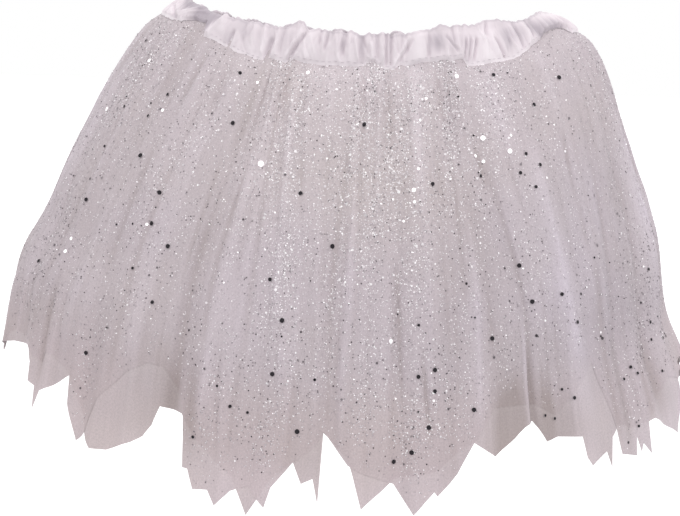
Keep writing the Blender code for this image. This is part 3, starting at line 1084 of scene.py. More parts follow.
def disc_shape(name: str, corners: int) -> bpy.types.Mesh:
    """Return a flat disc one metre across, facing +Z.

    Args:
        name: The mesh's name.
        corners: How many corners its edge has.

    Returns:
        The mesh.
    """
    bm = bmesh.new()
    bmesh.ops.create_circle(bm, cap_ends=True, segments=corners, radius=0.5)
    return meshed(name, bm)


def thread_shape(name: str, length: float, thickness: float) -> bpy.types.Mesh:
    """Return a short run of thread along X, with tapered ends.

    Args:
        name: The mesh's name.
        length: Its length in metres.
        thickness: Its thickness in metres.

    Returns:
        The mesh.
    """
    bm = bmesh.new()
    bmesh.ops.create_uvsphere(bm, u_segments=6, v_segments=5, radius=0.5)
    bmesh.ops.rotate(bm, verts=bm.verts, matrix=Matrix.Rotation(pi / 2.0, 3, "Y"))
    bmesh.ops.scale(bm, verts=bm.verts, vec=(length, thickness, thickness))
    mesh = meshed(name, bm)
    mesh.shade_smooth()
    return mesh


# ---- Node groups and finishes ----


@dataclass
class NodeSheet:
    """A node tree being drawn up, with short ways to add and join nodes."""

    tree: bpy.types.NodeTree

    def add(self, kind: str, **settings: object) -> bpy.types.Node:
        """Add a node of a kind and set its properties.

        Args:
            kind: The node's type.
            **settings: Its properties by name.

        Returns:
            The node.
        """
        node = self.tree.nodes.new(kind)
        for name, value in settings.items():
            setattr(node, name, value)
        return node

    def join(self, source: bpy.types.NodeSocket, target: bpy.types.NodeSocket) -> None:
        """Link an output to an input."""
        self.tree.links.new(source, target)

    def maths(self, operation: str, *values: object) -> bpy.types.NodeSocket:
        """Add a maths node, whose inputs are numbers or outputs, and return its output.

        Args:
            operation: What the node works out.
            *values: Its inputs, in order.

        Returns:
            Its output.
        """
        node = self.add("ShaderNodeMath", operation=operation)
        for slot, value in zip(node.inputs, values):
            if isinstance(value, (int, float)):
                slot.default_value = value
            else:
                self.join(value, slot)
        return node.outputs[0]

    def span(self, value: bpy.types.NodeSocket, low: float, high: float,
             to_low: float, to_high: float) -> bpy.types.NodeSocket:
        """Map a value from one range to another, clamped.

        Args:
            value: The output to map.
            low: The start of the first range.
            high: Its end.
            to_low: The start of the second range.
            to_high: Its end.

        Returns:
            The mapped value.
        """
        node = self.add("ShaderNodeMapRange", clamp=True)
        self.join(value, node.inputs["Value"])
        for name, number in (("From Min", low), ("From Max", high), ("To Min", to_low), ("To Max", to_high)):
            node.inputs[name].default_value = number
        return node.outputs[0]

    def blend(self, factor: bpy.types.NodeSocket, dark: object, light: object,
              how: str = "MIX") -> bpy.types.NodeSocket:
        """Mix two colours, each given as a colour or as an output.

        Args:
            factor: How much of the second colour there is, from 0 to 1.
            dark: The first colour.
            light: The second colour.
            how: The way in which the second is laid over the first.

        Returns:
            The mixed colour.
        """
        node = self.add("ShaderNodeMix", data_type="RGBA", blend_type=how)
        self.join(factor, node.inputs[0])
        for slot, value in ((node.inputs[6], dark), (node.inputs[7], light)):
            if isinstance(value, tuple):
                slot.default_value = value
            else:
                self.join(value, slot)
        return node.outputs[2]

    def three(self, value: bpy.types.NodeSocket, low: Colour, middle: Colour,
              high: Colour) -> bpy.types.NodeSocket:
        """Run through three colours as a value goes from 0 to 1."""
        first = self.blend(self.span(value, 0.0, 0.5, 0.0, 1.0), low, middle)
        return self.blend(self.span(value, 0.5, 1.0, 0.0, 1.0), first, high)

    def tinted(self, colour: bpy.types.NodeSocket, tint: bpy.types.NodeSocket) -> bpy.types.NodeSocket:
        """Multiply two colours.

        Args:
            colour: The first colour.
            tint: The second colour.

        Returns:
            Their product.
        """
        node = self.add("ShaderNodeMix", data_type="RGBA", blend_type="MULTIPLY")
        node.inputs[0].default_value = 1.0
        for slot, value in ((node.inputs[6], colour), (node.inputs[7], tint)):
            self.join(value, slot)
        return node.outputs[2]

    def read(self, name: str) -> bpy.types.NodeSocket:
        """Return the value of a point attribute."""
        return self.add("ShaderNodeAttribute", attribute_name=name).outputs["Fac"]

    def use(self, group: bpy.types.NodeTree, **values: float) -> bpy.types.NodeSocket:
        """Add a group with its inputs set and return its output.

        Args:
            group: The group.
            **values: The values of its inputs by name.

        Returns:
            Its first output.
        """
        node = self.add("ShaderNodeGroup", node_tree=group)
        for name, value in values.items():
            node.inputs[name].default_value = value
        return node.outputs[0]

    def brighten(self, colour: bpy.types.NodeSocket, value: bpy.types.NodeSocket) -> bpy.types.NodeSocket:
        """Multiply a colour's brightness by a value.

        Args:
            colour: The colour.
            value: What its brightness is multiplied by.

        Returns:
            The brightened colour.
        """
        node = self.add("ShaderNodeHueSaturation")
        self.join(value, node.inputs["Value"])
        self.join(colour, node.inputs["Color"])
        return node.outputs[0]


def rgba(red: float, green: float, blue: float) -> Colour:
    """Return an opaque colour."""
    return (red, green, blue, 1.0)


WHITE = rgba(1.0, 1.0, 1.0)
BLACK = rgba(0.0, 0.0, 0.0)


@dataclass(frozen=True)
class StreakScale:
    """How fine streaks are across and along the cloth, in streaks a metre, and their detail."""

    across: float
    along: float
    detail: float

    def draw(self, sheet: NodeSheet, streaks: bpy.types.NodeTree) -> bpy.types.NodeSocket:
        """Add the streaks' group to a sheet at this scale and return its output."""
        return sheet.use(streaks, Across=self.across, Along=self.along, Detail=self.detail)


def new_group(
    name: str, inputs: dict[str, float], output: str
) -> tuple[NodeSheet, bpy.types.Node, bpy.types.Node]:
    """Start a shader group.

    Args:
        name: The group's name.
        inputs: The names and the default values of its inputs.
        output: The name of its output.

    Returns:
        The group's sheet, its input node and its output node.
    """
    tree = bpy.data.node_groups.new(name, "ShaderNodeTree")
    for title, value in inputs.items():
        socket = tree.interface.new_socket(title, in_out="INPUT", socket_type="NodeSocketFloat")
        socket.default_value = value
    tree.interface.new_socket(output, in_out="OUTPUT", socket_type="NodeSocketFloat")
    sheet = NodeSheet(tree)
    return sheet, sheet.add("NodeGroupInput"), sheet.add("NodeGroupOutput")


def weave_place(sheet: NodeSheet) -> bpy.types.Node:
    """Return a node with the distances across and along the cloth, in metres.

    Args:
        sheet: The sheet to add it to.

    Returns:
        The node, whose first outputs are the two distances.
    """
    parts = sheet.add("ShaderNodeSeparateXYZ")
    sheet.join(sheet.add("ShaderNodeUVMap", uv_map="weave").outputs[0], parts.inputs[0])
    return parts


def net_group() -> bpy.types.NodeTree:
    """Draw up the net's mesh: six-sided holes on a UV map in metres.

    Returns:
        A group with inputs Pitch and Thread and the output Threads, 1 on a thread.
    """
    sheet, source, result = new_group("net_mesh", {"Pitch": 0.0012, "Thread": 0.4}, "Threads")
    parts = weave_place(sheet)
    wave = sheet.maths("DIVIDE", 2.0 * pi, source.outputs["Pitch"])
    across = sheet.maths("MULTIPLY", parts.outputs[0], wave)
    along = sheet.maths("MULTIPLY", parts.outputs[1], wave)
    total = sheet.maths("COSINE", along)
    for side in (-1.0, 1.0):
        slant = sheet.maths("MULTIPLY", across, side * sqrt(3.0) / 2.0)
        lean = sheet.maths("MULTIPLY", along, 0.5)
        total = sheet.maths("ADD", total, sheet.maths("COSINE", sheet.maths("ADD", slant, lean)))
    edge = sheet.maths("SUBTRACT", total, source.outputs["Thread"])
    soft = 0.35
    sheet.join(sheet.span(edge, -soft, soft, 1.0, 0.0), result.inputs[0])
    return sheet.tree


def streak_group() -> bpy.types.NodeTree:
    """Draw up soft streaks that run down the threads of a UV map in metres.

    Returns:
        A group with inputs Across, Along and Detail and the output Streak, from 0 to 1.
    """
    scale = {"Across": 260.0, "Along": 9.0, "Detail": 3.0}
    sheet, source, result = new_group("cloth_streaks", scale, "Streak")
    parts = weave_place(sheet)
    stretched = sheet.add("ShaderNodeCombineXYZ")
    for axis, name in enumerate(("Across", "Along")):
        distance = sheet.maths("MULTIPLY", parts.outputs[axis], source.outputs[name])
        sheet.join(distance, stretched.inputs[axis])
    noise = sheet.add("ShaderNodeTexNoise")
    noise.inputs["Scale"].default_value = 1.0
    sheet.join(stretched.outputs[0], noise.inputs["Vector"])
    sheet.join(source.outputs["Detail"], noise.inputs["Detail"])
    sheet.join(sheet.span(noise.outputs[0], 0.3, 0.7, 0.0, 1.0), result.inputs[0])
    return sheet.tree


def new_material(name: str) -> tuple[bpy.types.Material, NodeSheet, bpy.types.Node]:
    """Make a material.

    Args:
        name: The material's name.

    Returns:
        The material, its sheet and its shader.
    """
    material = bpy.data.materials.new(name)
    material.use_nodes = True
    return material, NodeSheet(material.node_tree), material.node_tree.nodes["Principled BSDF"]


def add_bump(sheet: NodeSheet, shader: bpy.types.Node, height: bpy.types.NodeSocket,
             strength: float, distance: float) -> None:
    """Rough up a shader's surface by a height.

    Args:
        sheet: The material's sheet.
        shader: Its shader.
        height: The height.
        strength: How strongly the height tilts the surface, from 0 to 1.
        distance: The height's reach, in metres.
    """
    bump = sheet.add("ShaderNodeBump")
    bump.inputs["Strength"].default_value = strength
    bump.inputs["Distance"].default_value = distance
    sheet.join(height, bump.inputs["Height"])
    sheet.join(bump.outputs[0], shader.inputs["Normal"])


@dataclass(frozen=True)
class NetFinish:
    """Fine net: its colour, painted darker in troughs as shade and lighter on pipes as light, its mesh and
    how much shows through it.
    """

    name: str
    # Painted shade in the troughs and painted light on the pipes, chosen by the fold attribute.
    trough: Colour = rgba(0.42, 0.355, 0.360)
    middle: Colour = rgba(0.60, 0.526, 0.564)
    pipe: Colour = rgba(0.73, 0.648, 0.712)
    # Painted light and a warmer tint toward the hem, more painted light at the tips, and painted shade where
    # the net lies alone.
    hem: Colour = rgba(1.035, 1.000, 0.975)
    painted_lighting: Colour = rgba(0.935, 0.930, 0.940)
    tip_light: float = 1.11
    tint: Colour = rgba(0.97, 0.97, 0.94)
    hole_cover: float = 0.92
    thread_cover: float = 0.975
    pitch: float = 0.0010
    roughness: float = 0.75
    specular: float = 0.3
    sheen: float = 0.1
    warm: Colour = rgba(1.0, 1.0, 0.965)
    cool: Colour = rgba(0.985, 0.995, 1.02)
    broad_scale: StreakScale = StreakScale(55.0, 5.0, 2.0)
    streak_contrast: float = 0.035
    grain_scale: StreakScale = StreakScale(820.0, 760.0, 1.0)
    grain: float = 0.080
    cloud_scale: float = 14.0
    cloud_detail: float = 2.0
    cloud_cover: float = 0.6
    bump: float = 0.25
    bump_depth: float = 0.001

    def make(self, net: bpy.types.NodeTree, streaks: bpy.types.NodeTree) -> bpy.types.Material:
        """Draw up the material.

        Args:
            net: The net's mesh group.
            streaks: The streaks' group.

        Returns:
            The material.
        """
        material, sheet, shader = new_material(self.name)
        threads = sheet.use(net, Pitch=self.pitch)
        fine = sheet.use(streaks)
        broad = self.broad_scale.draw(sheet, streaks)
        cloud = sheet.add("ShaderNodeTexNoise")
        cloud.inputs["Scale"].default_value = self.cloud_scale
        cloud.inputs["Detail"].default_value = self.cloud_detail
        sheet.join(sheet.add("ShaderNodeTexCoord").outputs["Object"], cloud.inputs["Vector"])
        # The fold attribute picks painted shade, the middle colour or painted light.
        colour = sheet.three(sheet.read("fold"), self.trough, self.middle, self.pipe)
        patch = sheet.span(cloud.outputs[0], 0.42, 0.62, 0.0, self.cloud_cover)
        colour = sheet.blend(patch, colour, self.tint, "MULTIPLY")
        mixed = sheet.maths("ADD", sheet.maths("MULTIPLY", fine, 0.5), sheet.maths("MULTIPLY", broad, 0.5))
        dim, lit = 1.0 - self.streak_contrast, 1.0 + self.streak_contrast
        colour = sheet.brighten(colour, sheet.span(mixed, 0.15, 0.85, dim, lit))
        grain = self.grain_scale.draw(sheet, streaks)
        colour = sheet.brighten(colour, sheet.span(grain, 0.0, 1.0, 1.0 - self.grain, 1.0 + self.grain))
        cast = sheet.three(sheet.read("warm"), self.cool, WHITE, self.warm)
        # Toward the hem the colour is painted lighter and warmer, and at the tips lighter still.
        low = sheet.blend(sheet.read("low"), cast, self.hem)
        low = sheet.brighten(low, sheet.span(sheet.read("tip"), 0.0, 1.0, 1.0, self.tip_light))
        # Where the net lies alone its colour is painted darker as shade.
        painted_lighting = sheet.blend(sheet.read("single"), low, self.painted_lighting, "MULTIPLY")
        sheet.join(sheet.tinted(colour, painted_lighting), shader.inputs["Base Color"])
        cover = sheet.span(threads, 0.0, 1.0, self.hole_cover, self.thread_cover)
        sheet.join(cover, shader.inputs["Alpha"])
        shader.inputs["Roughness"].default_value = self.roughness
        shader.inputs["Specular IOR Level"].default_value = self.specular
        shader.inputs["Sheen Weight"].default_value = self.sheen
        add_bump(sheet, shader, mixed, self.bump, self.bump_depth)
        return material


@dataclass(frozen=True)
class SatinFinish:
    """Smooth satin with a soft sheen and a fine rib from its weave; its colour is painted darker in hollows
    as shade and lighter on crowns as sheen.
    """

    name: str = "satin_white"
    # Painted shade, the middle colour and painted sheen, chosen by the fold attribute.
    hollow_shade: Colour = rgba(0.46, 0.40, 0.45)
    middle: Colour = rgba(0.768, 0.683, 0.731)
    crown: Colour = rgba(0.935, 0.858, 0.903)
    roughness: float = 0.36
    gloss_range: Range = (-0.05, 0.07)
    sheen: float = 0.1
    weave_scale: StreakScale = StreakScale(500.0, 2600.0, 1.0)
    drift_scale: StreakScale = StreakScale(70.0, 40.0, 2.0)
    drift_contrast: float = 0.04
    bump: float = 0.25
    bump_depth: float = 0.0002

    def make(self, streaks: bpy.types.NodeTree) -> bpy.types.Material:
        """Draw up the material.

        Args:
            streaks: The streaks' group.

        Returns:
            The material.
        """
        material, sheet, shader = new_material(self.name)
        weave = self.weave_scale.draw(sheet, streaks)
        drift = self.drift_scale.draw(sheet, streaks)
        # The fold attribute carries the painted sheen and shade.
        colour = sheet.three(sheet.read("fold"), self.hollow_shade, self.middle, self.crown)
        dim, lit = 1.0 - self.drift_contrast, 1.0 + self.drift_contrast
        colour = sheet.brighten(colour, sheet.span(drift, 0.0, 1.0, dim, lit))
        sheet.join(colour, shader.inputs["Base Color"])
        smoothest, roughest = (self.roughness + change for change in self.gloss_range)
        sheet.join(sheet.span(drift, 0.0, 1.0, smoothest, roughest), shader.inputs["Roughness"])
        shader.inputs["Sheen Weight"].default_value = self.sheen
        add_bump(sheet, shader, weave, self.bump, self.bump_depth)
        return material


@dataclass(frozen=True)
class FoilFinish:
    """Silver foil whose tone is painted reflection: from a painted dark reflection to a painted white glint
    that glows.
    """

    name: str
    dark: Colour = rgba(0.012, 0.010, 0.014)
    middle: Colour = rgba(0.57, 0.51, 0.545)
    bright: Colour = WHITE
    # The glow makes the painted glints shine though they are no lamp.
    glow: float = 0.6
    metallic: Range = (0.0, 0.60)
    roughness: Range = (0.60, 0.30)
    flash_from: float = 0.5
    specular: float = 0.10

    def make(self) -> bpy.types.Material:
        """Draw up the material.

        Returns:
            The material.
        """
        material, sheet, shader = new_material(self.name)
        tone = sheet.read("tone")
        sheet.join(sheet.three(tone, self.dark, self.middle, self.bright), shader.inputs["Base Color"])
        sheet.join(sheet.span(tone, 0.0, 1.0, *self.metallic), shader.inputs["Metallic"])
        sheet.join(sheet.span(tone, 0.0, 1.0, *self.roughness), shader.inputs["Roughness"])
        # Flakes past the flash level glow as painted glints.
        flash = sheet.span(tone, self.flash_from, 1.0, 0.0, 1.0)
        sheet.join(sheet.blend(flash, BLACK, self.bright), shader.inputs["Emission Color"])
        shader.inputs["Emission Strength"].default_value = self.glow
        shader.inputs["Specular IOR Level"].default_value = self.specular
        return material


@dataclass(frozen=True)
class ThreadFinish:
    """Sewing thread, matt, with the twist of its two plies, painted darker in the grooves between them as
    shade.
    """

    name: str = "sewing_thread"
    colour: Colour = rgba(0.74, 0.67, 0.71)
    hollow_shade: Colour = rgba(0.55, 0.50, 0.54)
    roughness: float = 0.7
    twist_scale: float = 900.0
    twist_waver: float = 1.0
    bump: float = 0.4
    bump_depth: float = 0.0001

    def make(self) -> bpy.types.Material:
        """Draw up the material.

        Returns:
            The material.
        """
        material, sheet, shader = new_material(self.name)
        twist = sheet.add("ShaderNodeTexWave", wave_type="BANDS", bands_direction="DIAGONAL")
        twist.inputs["Scale"].default_value = self.twist_scale
        twist.inputs["Distortion"].default_value = self.twist_waver
        sheet.join(sheet.add("ShaderNodeTexCoord").outputs["Object"], twist.inputs["Vector"])
        # Painted shade in the twist's grooves.
        sheet.join(sheet.blend(twist.outputs["Fac"], self.hollow_shade, self.colour), shader.inputs["Base Color"])
        shader.inputs["Roughness"].default_value = self.roughness
        add_bump(sheet, shader, twist.outputs["Fac"], self.bump, self.bump_depth)
        return material


# ---- Sub-assemblies ----


@dataclass
class SatinCasing:
    """The satin strip folded over the elastic and drawn up on it, and the stitches that hold it."""

    seam: SeamLine
    height: float = 0.023
    wall: float = 0.0032
    crown: float = 0.0016
    face_gap: float = 0.0004
    lip_out: float = -0.0003
    lip_ease: float = 0.08
    crown_power: float = 0.8
    relief_ease: float = 0.3
    relief_at_seam: float = 0.75
    lining_share: float = 0.4
    columns: int = 1620
    face_rows: int = 22
    fold_rows: int = 6
    fold_rise: float = 0.9
    back_drop: float = 0.02
    back_least: float = 0.8
    seed: int = 5
    hidden_puckers: int = 112
    hidden_from: float = 63.0
    hidden_span: float = 226.0
    ridge_mm: Range = (0.7, 1.5)
    pinch_mm: Range = (0.8, 2.0)
    narrow_deg: Range = (0.35, 0.8)
    wide_deg: Range = (1.1, 1.7)
    pucker_top: Range = (0.7, 1.05)
    pucker_slant_deg: float = 1.1
    # Patches of painted sheen and painted shade for the hidden sides.
    hidden_gleams: int = 26
    gleam_from: float = 90.0
    gleam_span: float = 176.0
    gleam_dark: Range = (0.3, 0.8)
    gleam_light: Range = (0.2, 0.5)
    gleam_share: Range = (0.2, 0.7)
    gleam_reach_deg: Range = (1.2, 3.5)
    gleam_reach_share: Range = (0.25, 0.5)
    fine_puckers: int = 460
    fine_low: Range = (-0.1, 0.7)
    fine_mm: Range = (0.2, 0.55)
    fine_span: Range = (0.3, 0.7)
    fine_width_deg: Range = (0.22, 0.45)
    frills: tuple[Frill, ...] = (
        Frill(1.0, 71.0, 3.0, 7.0),
        Frill(0.8, 118.0, 4.0, 11.0),
        Frill(0.5, 197.0, 5.0, 5.0),
    )
    low_frill: float = 0.012
    low_offset: float = 0.02
    high_frill: float = 0.022
    behind_from: float = 100.0
    behind_ease: float = 10.0
    low_sway: float = 0.08
    high_sway: float = 0.10
    pucker_reach: float = 6.0
    pucker_overrun: float = 0.05
    pucker_ease: float = 0.22
    deep_mm: float = -0.8
    shoulder_height: float = 0.28
    shoulder_offset: float = 2.2
    shoulder_width: float = 1.2
    # Painted sheen and shade of the satin: by the creases, at the rim, along the lower edge, over the foot
    # and under the brow.
    crease_light_and_shade: float = 0.26
    crease_mm: float = 1.4
    rim_share: float = 0.07
    rim_shade: float = 0.22
    lip_share: float = 0.12
    lip_shine: float = 0.40
    foot_share: float = 0.4
    foot_shine: float = 0.17
    brow: Range = (0.48, 0.90)
    brow_ease: float = 0.2
    brow_shade: float = 0.08
    raised: Ramp = Ramp(0.12, 0.12)
    stitch_pitch: float = 0.0038
    stitch_share: float = 0.12
    stitch_step_deg: float = 0.4
    stitch_lift: float = 0.00012
    stitch_length: float = 0.0027
    stitch_thickness: float = 0.00034
    strip_width: float = 1.02
    strip_height: float = 0.052

    def __post_init__(self) -> None:
        """Lay out the puckers and the gleams, as listed for the front and like them elsewhere."""
        draw = np.random.default_rng(self.seed)
        self.puckers, self.gleams = list(FRONT_PUCKERS), list(FRONT_GLEAMS)
        for k in range(self.hidden_puckers):
            deg = self.hidden_from + self.hidden_span * (k + draw.uniform(*JITTER)) / self.hidden_puckers
            low = draw.choice((0.0, 0.1, 0.5))
            slant = draw.normal(0.0, self.pucker_slant_deg)
            height = draw.uniform(*self.ridge_mm) if k % 2 else -draw.uniform(*self.pinch_mm)
            width = draw.uniform(*(self.narrow_deg if k % 4 else self.wide_deg))
            top = draw.uniform(*self.pucker_top)
            self.puckers.append(Pucker(deg, deg + slant, low, top, width, height))
        for k in range(self.hidden_gleams):
            deg = self.gleam_from + self.gleam_span * (k + draw.uniform(*JITTER)) / self.hidden_gleams
            tone = -draw.uniform(*self.gleam_dark) if k % 2 else draw.uniform(*self.gleam_light)
            share, reach_deg = draw.uniform(*self.gleam_share), draw.uniform(*self.gleam_reach_deg)
            reach_share = draw.uniform(*self.gleam_reach_share)
            self.gleams.append(Gleam(deg, share, reach_deg, reach_share, tone))
        for _ in range(self.fine_puckers):
            deg, low = draw.uniform(0.0, TURN), draw.uniform(*self.fine_low)
            height = draw.uniform(*self.fine_mm) * draw.choice((-1.0, 1.0))
            slant = draw.normal(0.0, self.pucker_slant_deg)
            span, width = draw.uniform(*self.fine_span), draw.uniform(*self.fine_width_deg)
            self.puckers.append(Pucker(deg, deg + slant, low, low + span, width, height))

    def edges(self, degrees: Array) -> tuple[Array, Array]:
        """Return the shares up the casing at which its lower and its upper edge run.

        Args:
            degrees: Angles round the casing.

        Returns:
            The lower edge's shares and the upper edge's.
        """
        low = around(degrees, [row.deg for row in LOW_EDGE], [row.share for row in LOW_EDGE])
        high = around(degrees, [row.deg for row in TOP_EDGE], [row.share for row in TOP_EDGE])
        behind = 1.0 - smooth((self.behind_from - np.abs(wrapped(degrees))) / self.behind_ease)
        sway = waves(degrees, 19.0) + 0.7 * waves(degrees, 31.0, 1.0)
        low = low + self.low_sway * behind * sway
        high = high + self.high_sway * behind * np.cos(np.radians(23.0 * degrees) + 0.7 * sway)
        frill = sum(wave.at(degrees) for wave in self.frills)
        return low - self.low_offset + self.low_frill * frill, high + self.high_frill * frill

    def relief(self, degrees: Array, share: Array) -> Array:
        """Return the height of the ruching, in metres, over the casing's plain face.

        Args:
            degrees: Angles round the casing.
            share: Height up the casing, from 0 at the seam to 1 at the top.

        Returns:
            The height at each place.
        """
        degrees, share = np.broadcast_arrays(degrees, share)
        height = np.zeros(share.shape)
        flat_deg = degrees[0] if degrees.ndim > 1 else degrees
        for row in self.puckers:
            reach = self.pucker_reach * row.width_deg + abs(row.high_deg - row.low_deg)
            near = np.flatnonzero(np.abs(wrapped(flat_deg - row.low_deg)) < reach)
            climb = share[..., near]
            run = np.clip((climb - row.low) / (row.high - row.low), 0.0, 1.0)
            off = wrapped(degrees[..., near] - row.low_deg - (row.high_deg - row.low_deg) * run)
            low, high = row.low - self.pucker_overrun, row.high + self.pucker_overrun
            span = window(climb, low, high, self.pucker_ease)
            swell = bell(off, row.width_deg)
            if row.height_mm < self.deep_mm:
                beside = np.abs(off) - self.shoulder_offset * row.width_deg
                swell = swell - self.shoulder_height * bell(beside, self.shoulder_width * row.width_deg)
            height[..., near] += row.height_mm * MM * span * swell
        return height

    def sheen(self, degrees: Array, share: Array) -> Array:
        """Return the painted sheen and shade of the satin, from 0 through 0.5 to 1.

        Args:
            degrees: Angles round the casing.
            share: Height up the casing, from 0 at the seam to 1 at the top.

        Returns:
            The painted lightness at each place.
        """
        tone = np.zeros(np.broadcast(degrees, share).shape)
        # Patches of painted sheen and painted shade.
        for row in self.gleams:
            off = wrapped(degrees - row.deg)
            tone = tone + row.tone * bell(off, row.reach_deg) * bell(share - row.share, row.reach_share)
        # Painted sheen on ridges and painted shade in pinches.
        crease = self.crease_light_and_shade * np.tanh(self.relief(degrees, share) / (self.crease_mm * MM))
        low, high = self.edges(degrees)
        # Painted shade at the rim and under the brow, painted light along the lower edge and over the foot.
        rim = smooth((share - high) / self.rim_share + 1.0)
        lip = 1.0 - smooth((share - low) / self.lip_share)
        foot = np.clip(1.0 - share / self.foot_share, 0.0, 1.0)
        brow = window(share, *self.brow, self.brow_ease)
        band_light_and_shade = self.lip_shine * lip + self.foot_shine * foot - self.brow_shade * brow
        band_light_and_shade = band_light_and_shade * (1.0 - self.raised.at(low))
        return np.clip(0.5 + 0.5 * tone + crease - self.rim_shade * rim + band_light_and_shade, 0.0, 1.0)

    def place(self, degrees: Array, share: Array, side: Rim) -> Array:
        """Return points of the casing's outer or inner face.

        Args:
            degrees: Angles round the casing.
            share: Height up the casing, below 0 where it hangs over the net.
            side: The outer face or the inner one.

        Returns:
            The points, with the coordinates on the last axis.
        """
        point, up, normal = self.seam.band_frame(np.radians(degrees))
        relief = self.relief(degrees, share)
        bulge = self.crown * np.sin(pi * np.clip(share, 0.0, 1.0)) ** self.crown_power
        if side is Rim.FACE:
            clear = smooth((share - self.edges(degrees)[0]) / self.lip_ease)
            risen = smooth(share / self.relief_ease + self.relief_at_seam)
            off = (bulge + relief * risen + self.face_gap) * clear
            off = off + self.lip_out * (1.0 - clear)
        else:
            off = -self.wall - self.lining_share * bulge - self.lining_share * relief
        return point + scaled(up, share * self.height) + scaled(normal, off)

    def build(self, satin: bpy.types.Material) -> bpy.types.Object:
        """Make the casing: up its outer face, over the elastic and down its inner face.

        Args:
            satin: The strip's finish.

        Returns:
            The casing.
        """
        degrees = np.linspace(0.0, TURN, self.columns + 1)[None, :]
        low, high = self.edges(degrees)
        climb = np.linspace(0.0, 1.0, self.face_rows)[:, None]
        outer_share = low + (high - low) * climb
        inner_share = (np.maximum(high - self.back_drop, self.back_least) * climb)[::-1]
        outer = self.place(degrees, outer_share, Rim.FACE)
        inner = self.place(degrees, inner_share, Rim.BACK)
        turn = np.linspace(0.0, 1.0, self.fold_rows + 2)[1:-1][:, None, None]
        middle, radius = (outer[-1] + inner[0]) / 2.0, (outer[-1] - inner[0]) / 2.0
        up = self.seam.band_frame(np.radians(degrees[0]))[1]
        reach = np.linalg.norm(radius, axis=-1, keepdims=True)
        fold = middle + radius * np.cos(pi * turn) + up * reach * self.fold_rise * np.sin(pi * turn)
        points = np.concatenate([outer, fold, inner])
        points[:, -1] = points[:, 0]
        run = np.linalg.norm(np.diff(points[:, 0], axis=0), axis=-1)
        along = np.concatenate([[0.0], np.cumsum(run)])[:, None]
        across = degrees / TURN * self.strip_width
        shape = points.shape[:2]
        weave = np.stack((np.broadcast_to(across, shape), np.broadcast_to(along, shape)), -1)
        rim_share = np.repeat(high, self.fold_rows, axis=0)
        shares = np.concatenate([outer_share, rim_share, inner_share])
        # The fold attribute carries the painted sheen and shade of the satin.
        masks = {"fold": self.sheen(degrees, shares)[::-1]}
        casing = TubeGrid("satin_casing", points[::-1], weave[::-1], masks).build()
        casing.data.materials.append(satin)
        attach(casing, "root")
        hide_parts("waistband")
        return casing

    def stitches(self, thread: bpy.types.Material) -> bpy.types.Object:
        """Make the run of stitches that closes the casing over the net, inside and out.

        Args:
            thread: The thread's finish.

        Returns:
            The stitches, joined.
        """
        count = int(pi * (self.seam.half_width + self.seam.half_depth) / self.stitch_pitch)
        degrees = np.arange(count) * TURN / count
        sites, turns = [], []
        for side in (Rim.FACE, Rim.BACK):
            share = self.edges(degrees)[0] + self.stitch_share
            if side is Rim.BACK:
                share = np.full(count, self.stitch_share)
            here = self.place(degrees, share, side)
            run = self.place(degrees + self.stitch_step_deg, share, side) - here
            normal = self.seam.band_frame(np.radians(degrees))[2] * side.value
            sites.append(here + normal * self.stitch_lift)
            turns.append(laid_turns(run, normal))
        places = np.concatenate(sites)
        shape = thread_shape("stitch", self.stitch_length, self.stitch_thickness)
        sizes, tones = np.ones(len(places)), np.full(len(places), 0.5)
        strewn = Strewn("casing_stitches", shape, places, np.concatenate(turns), sizes, tones)
        piece = strewn.build(thread)
        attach(piece, "root")
        return piece


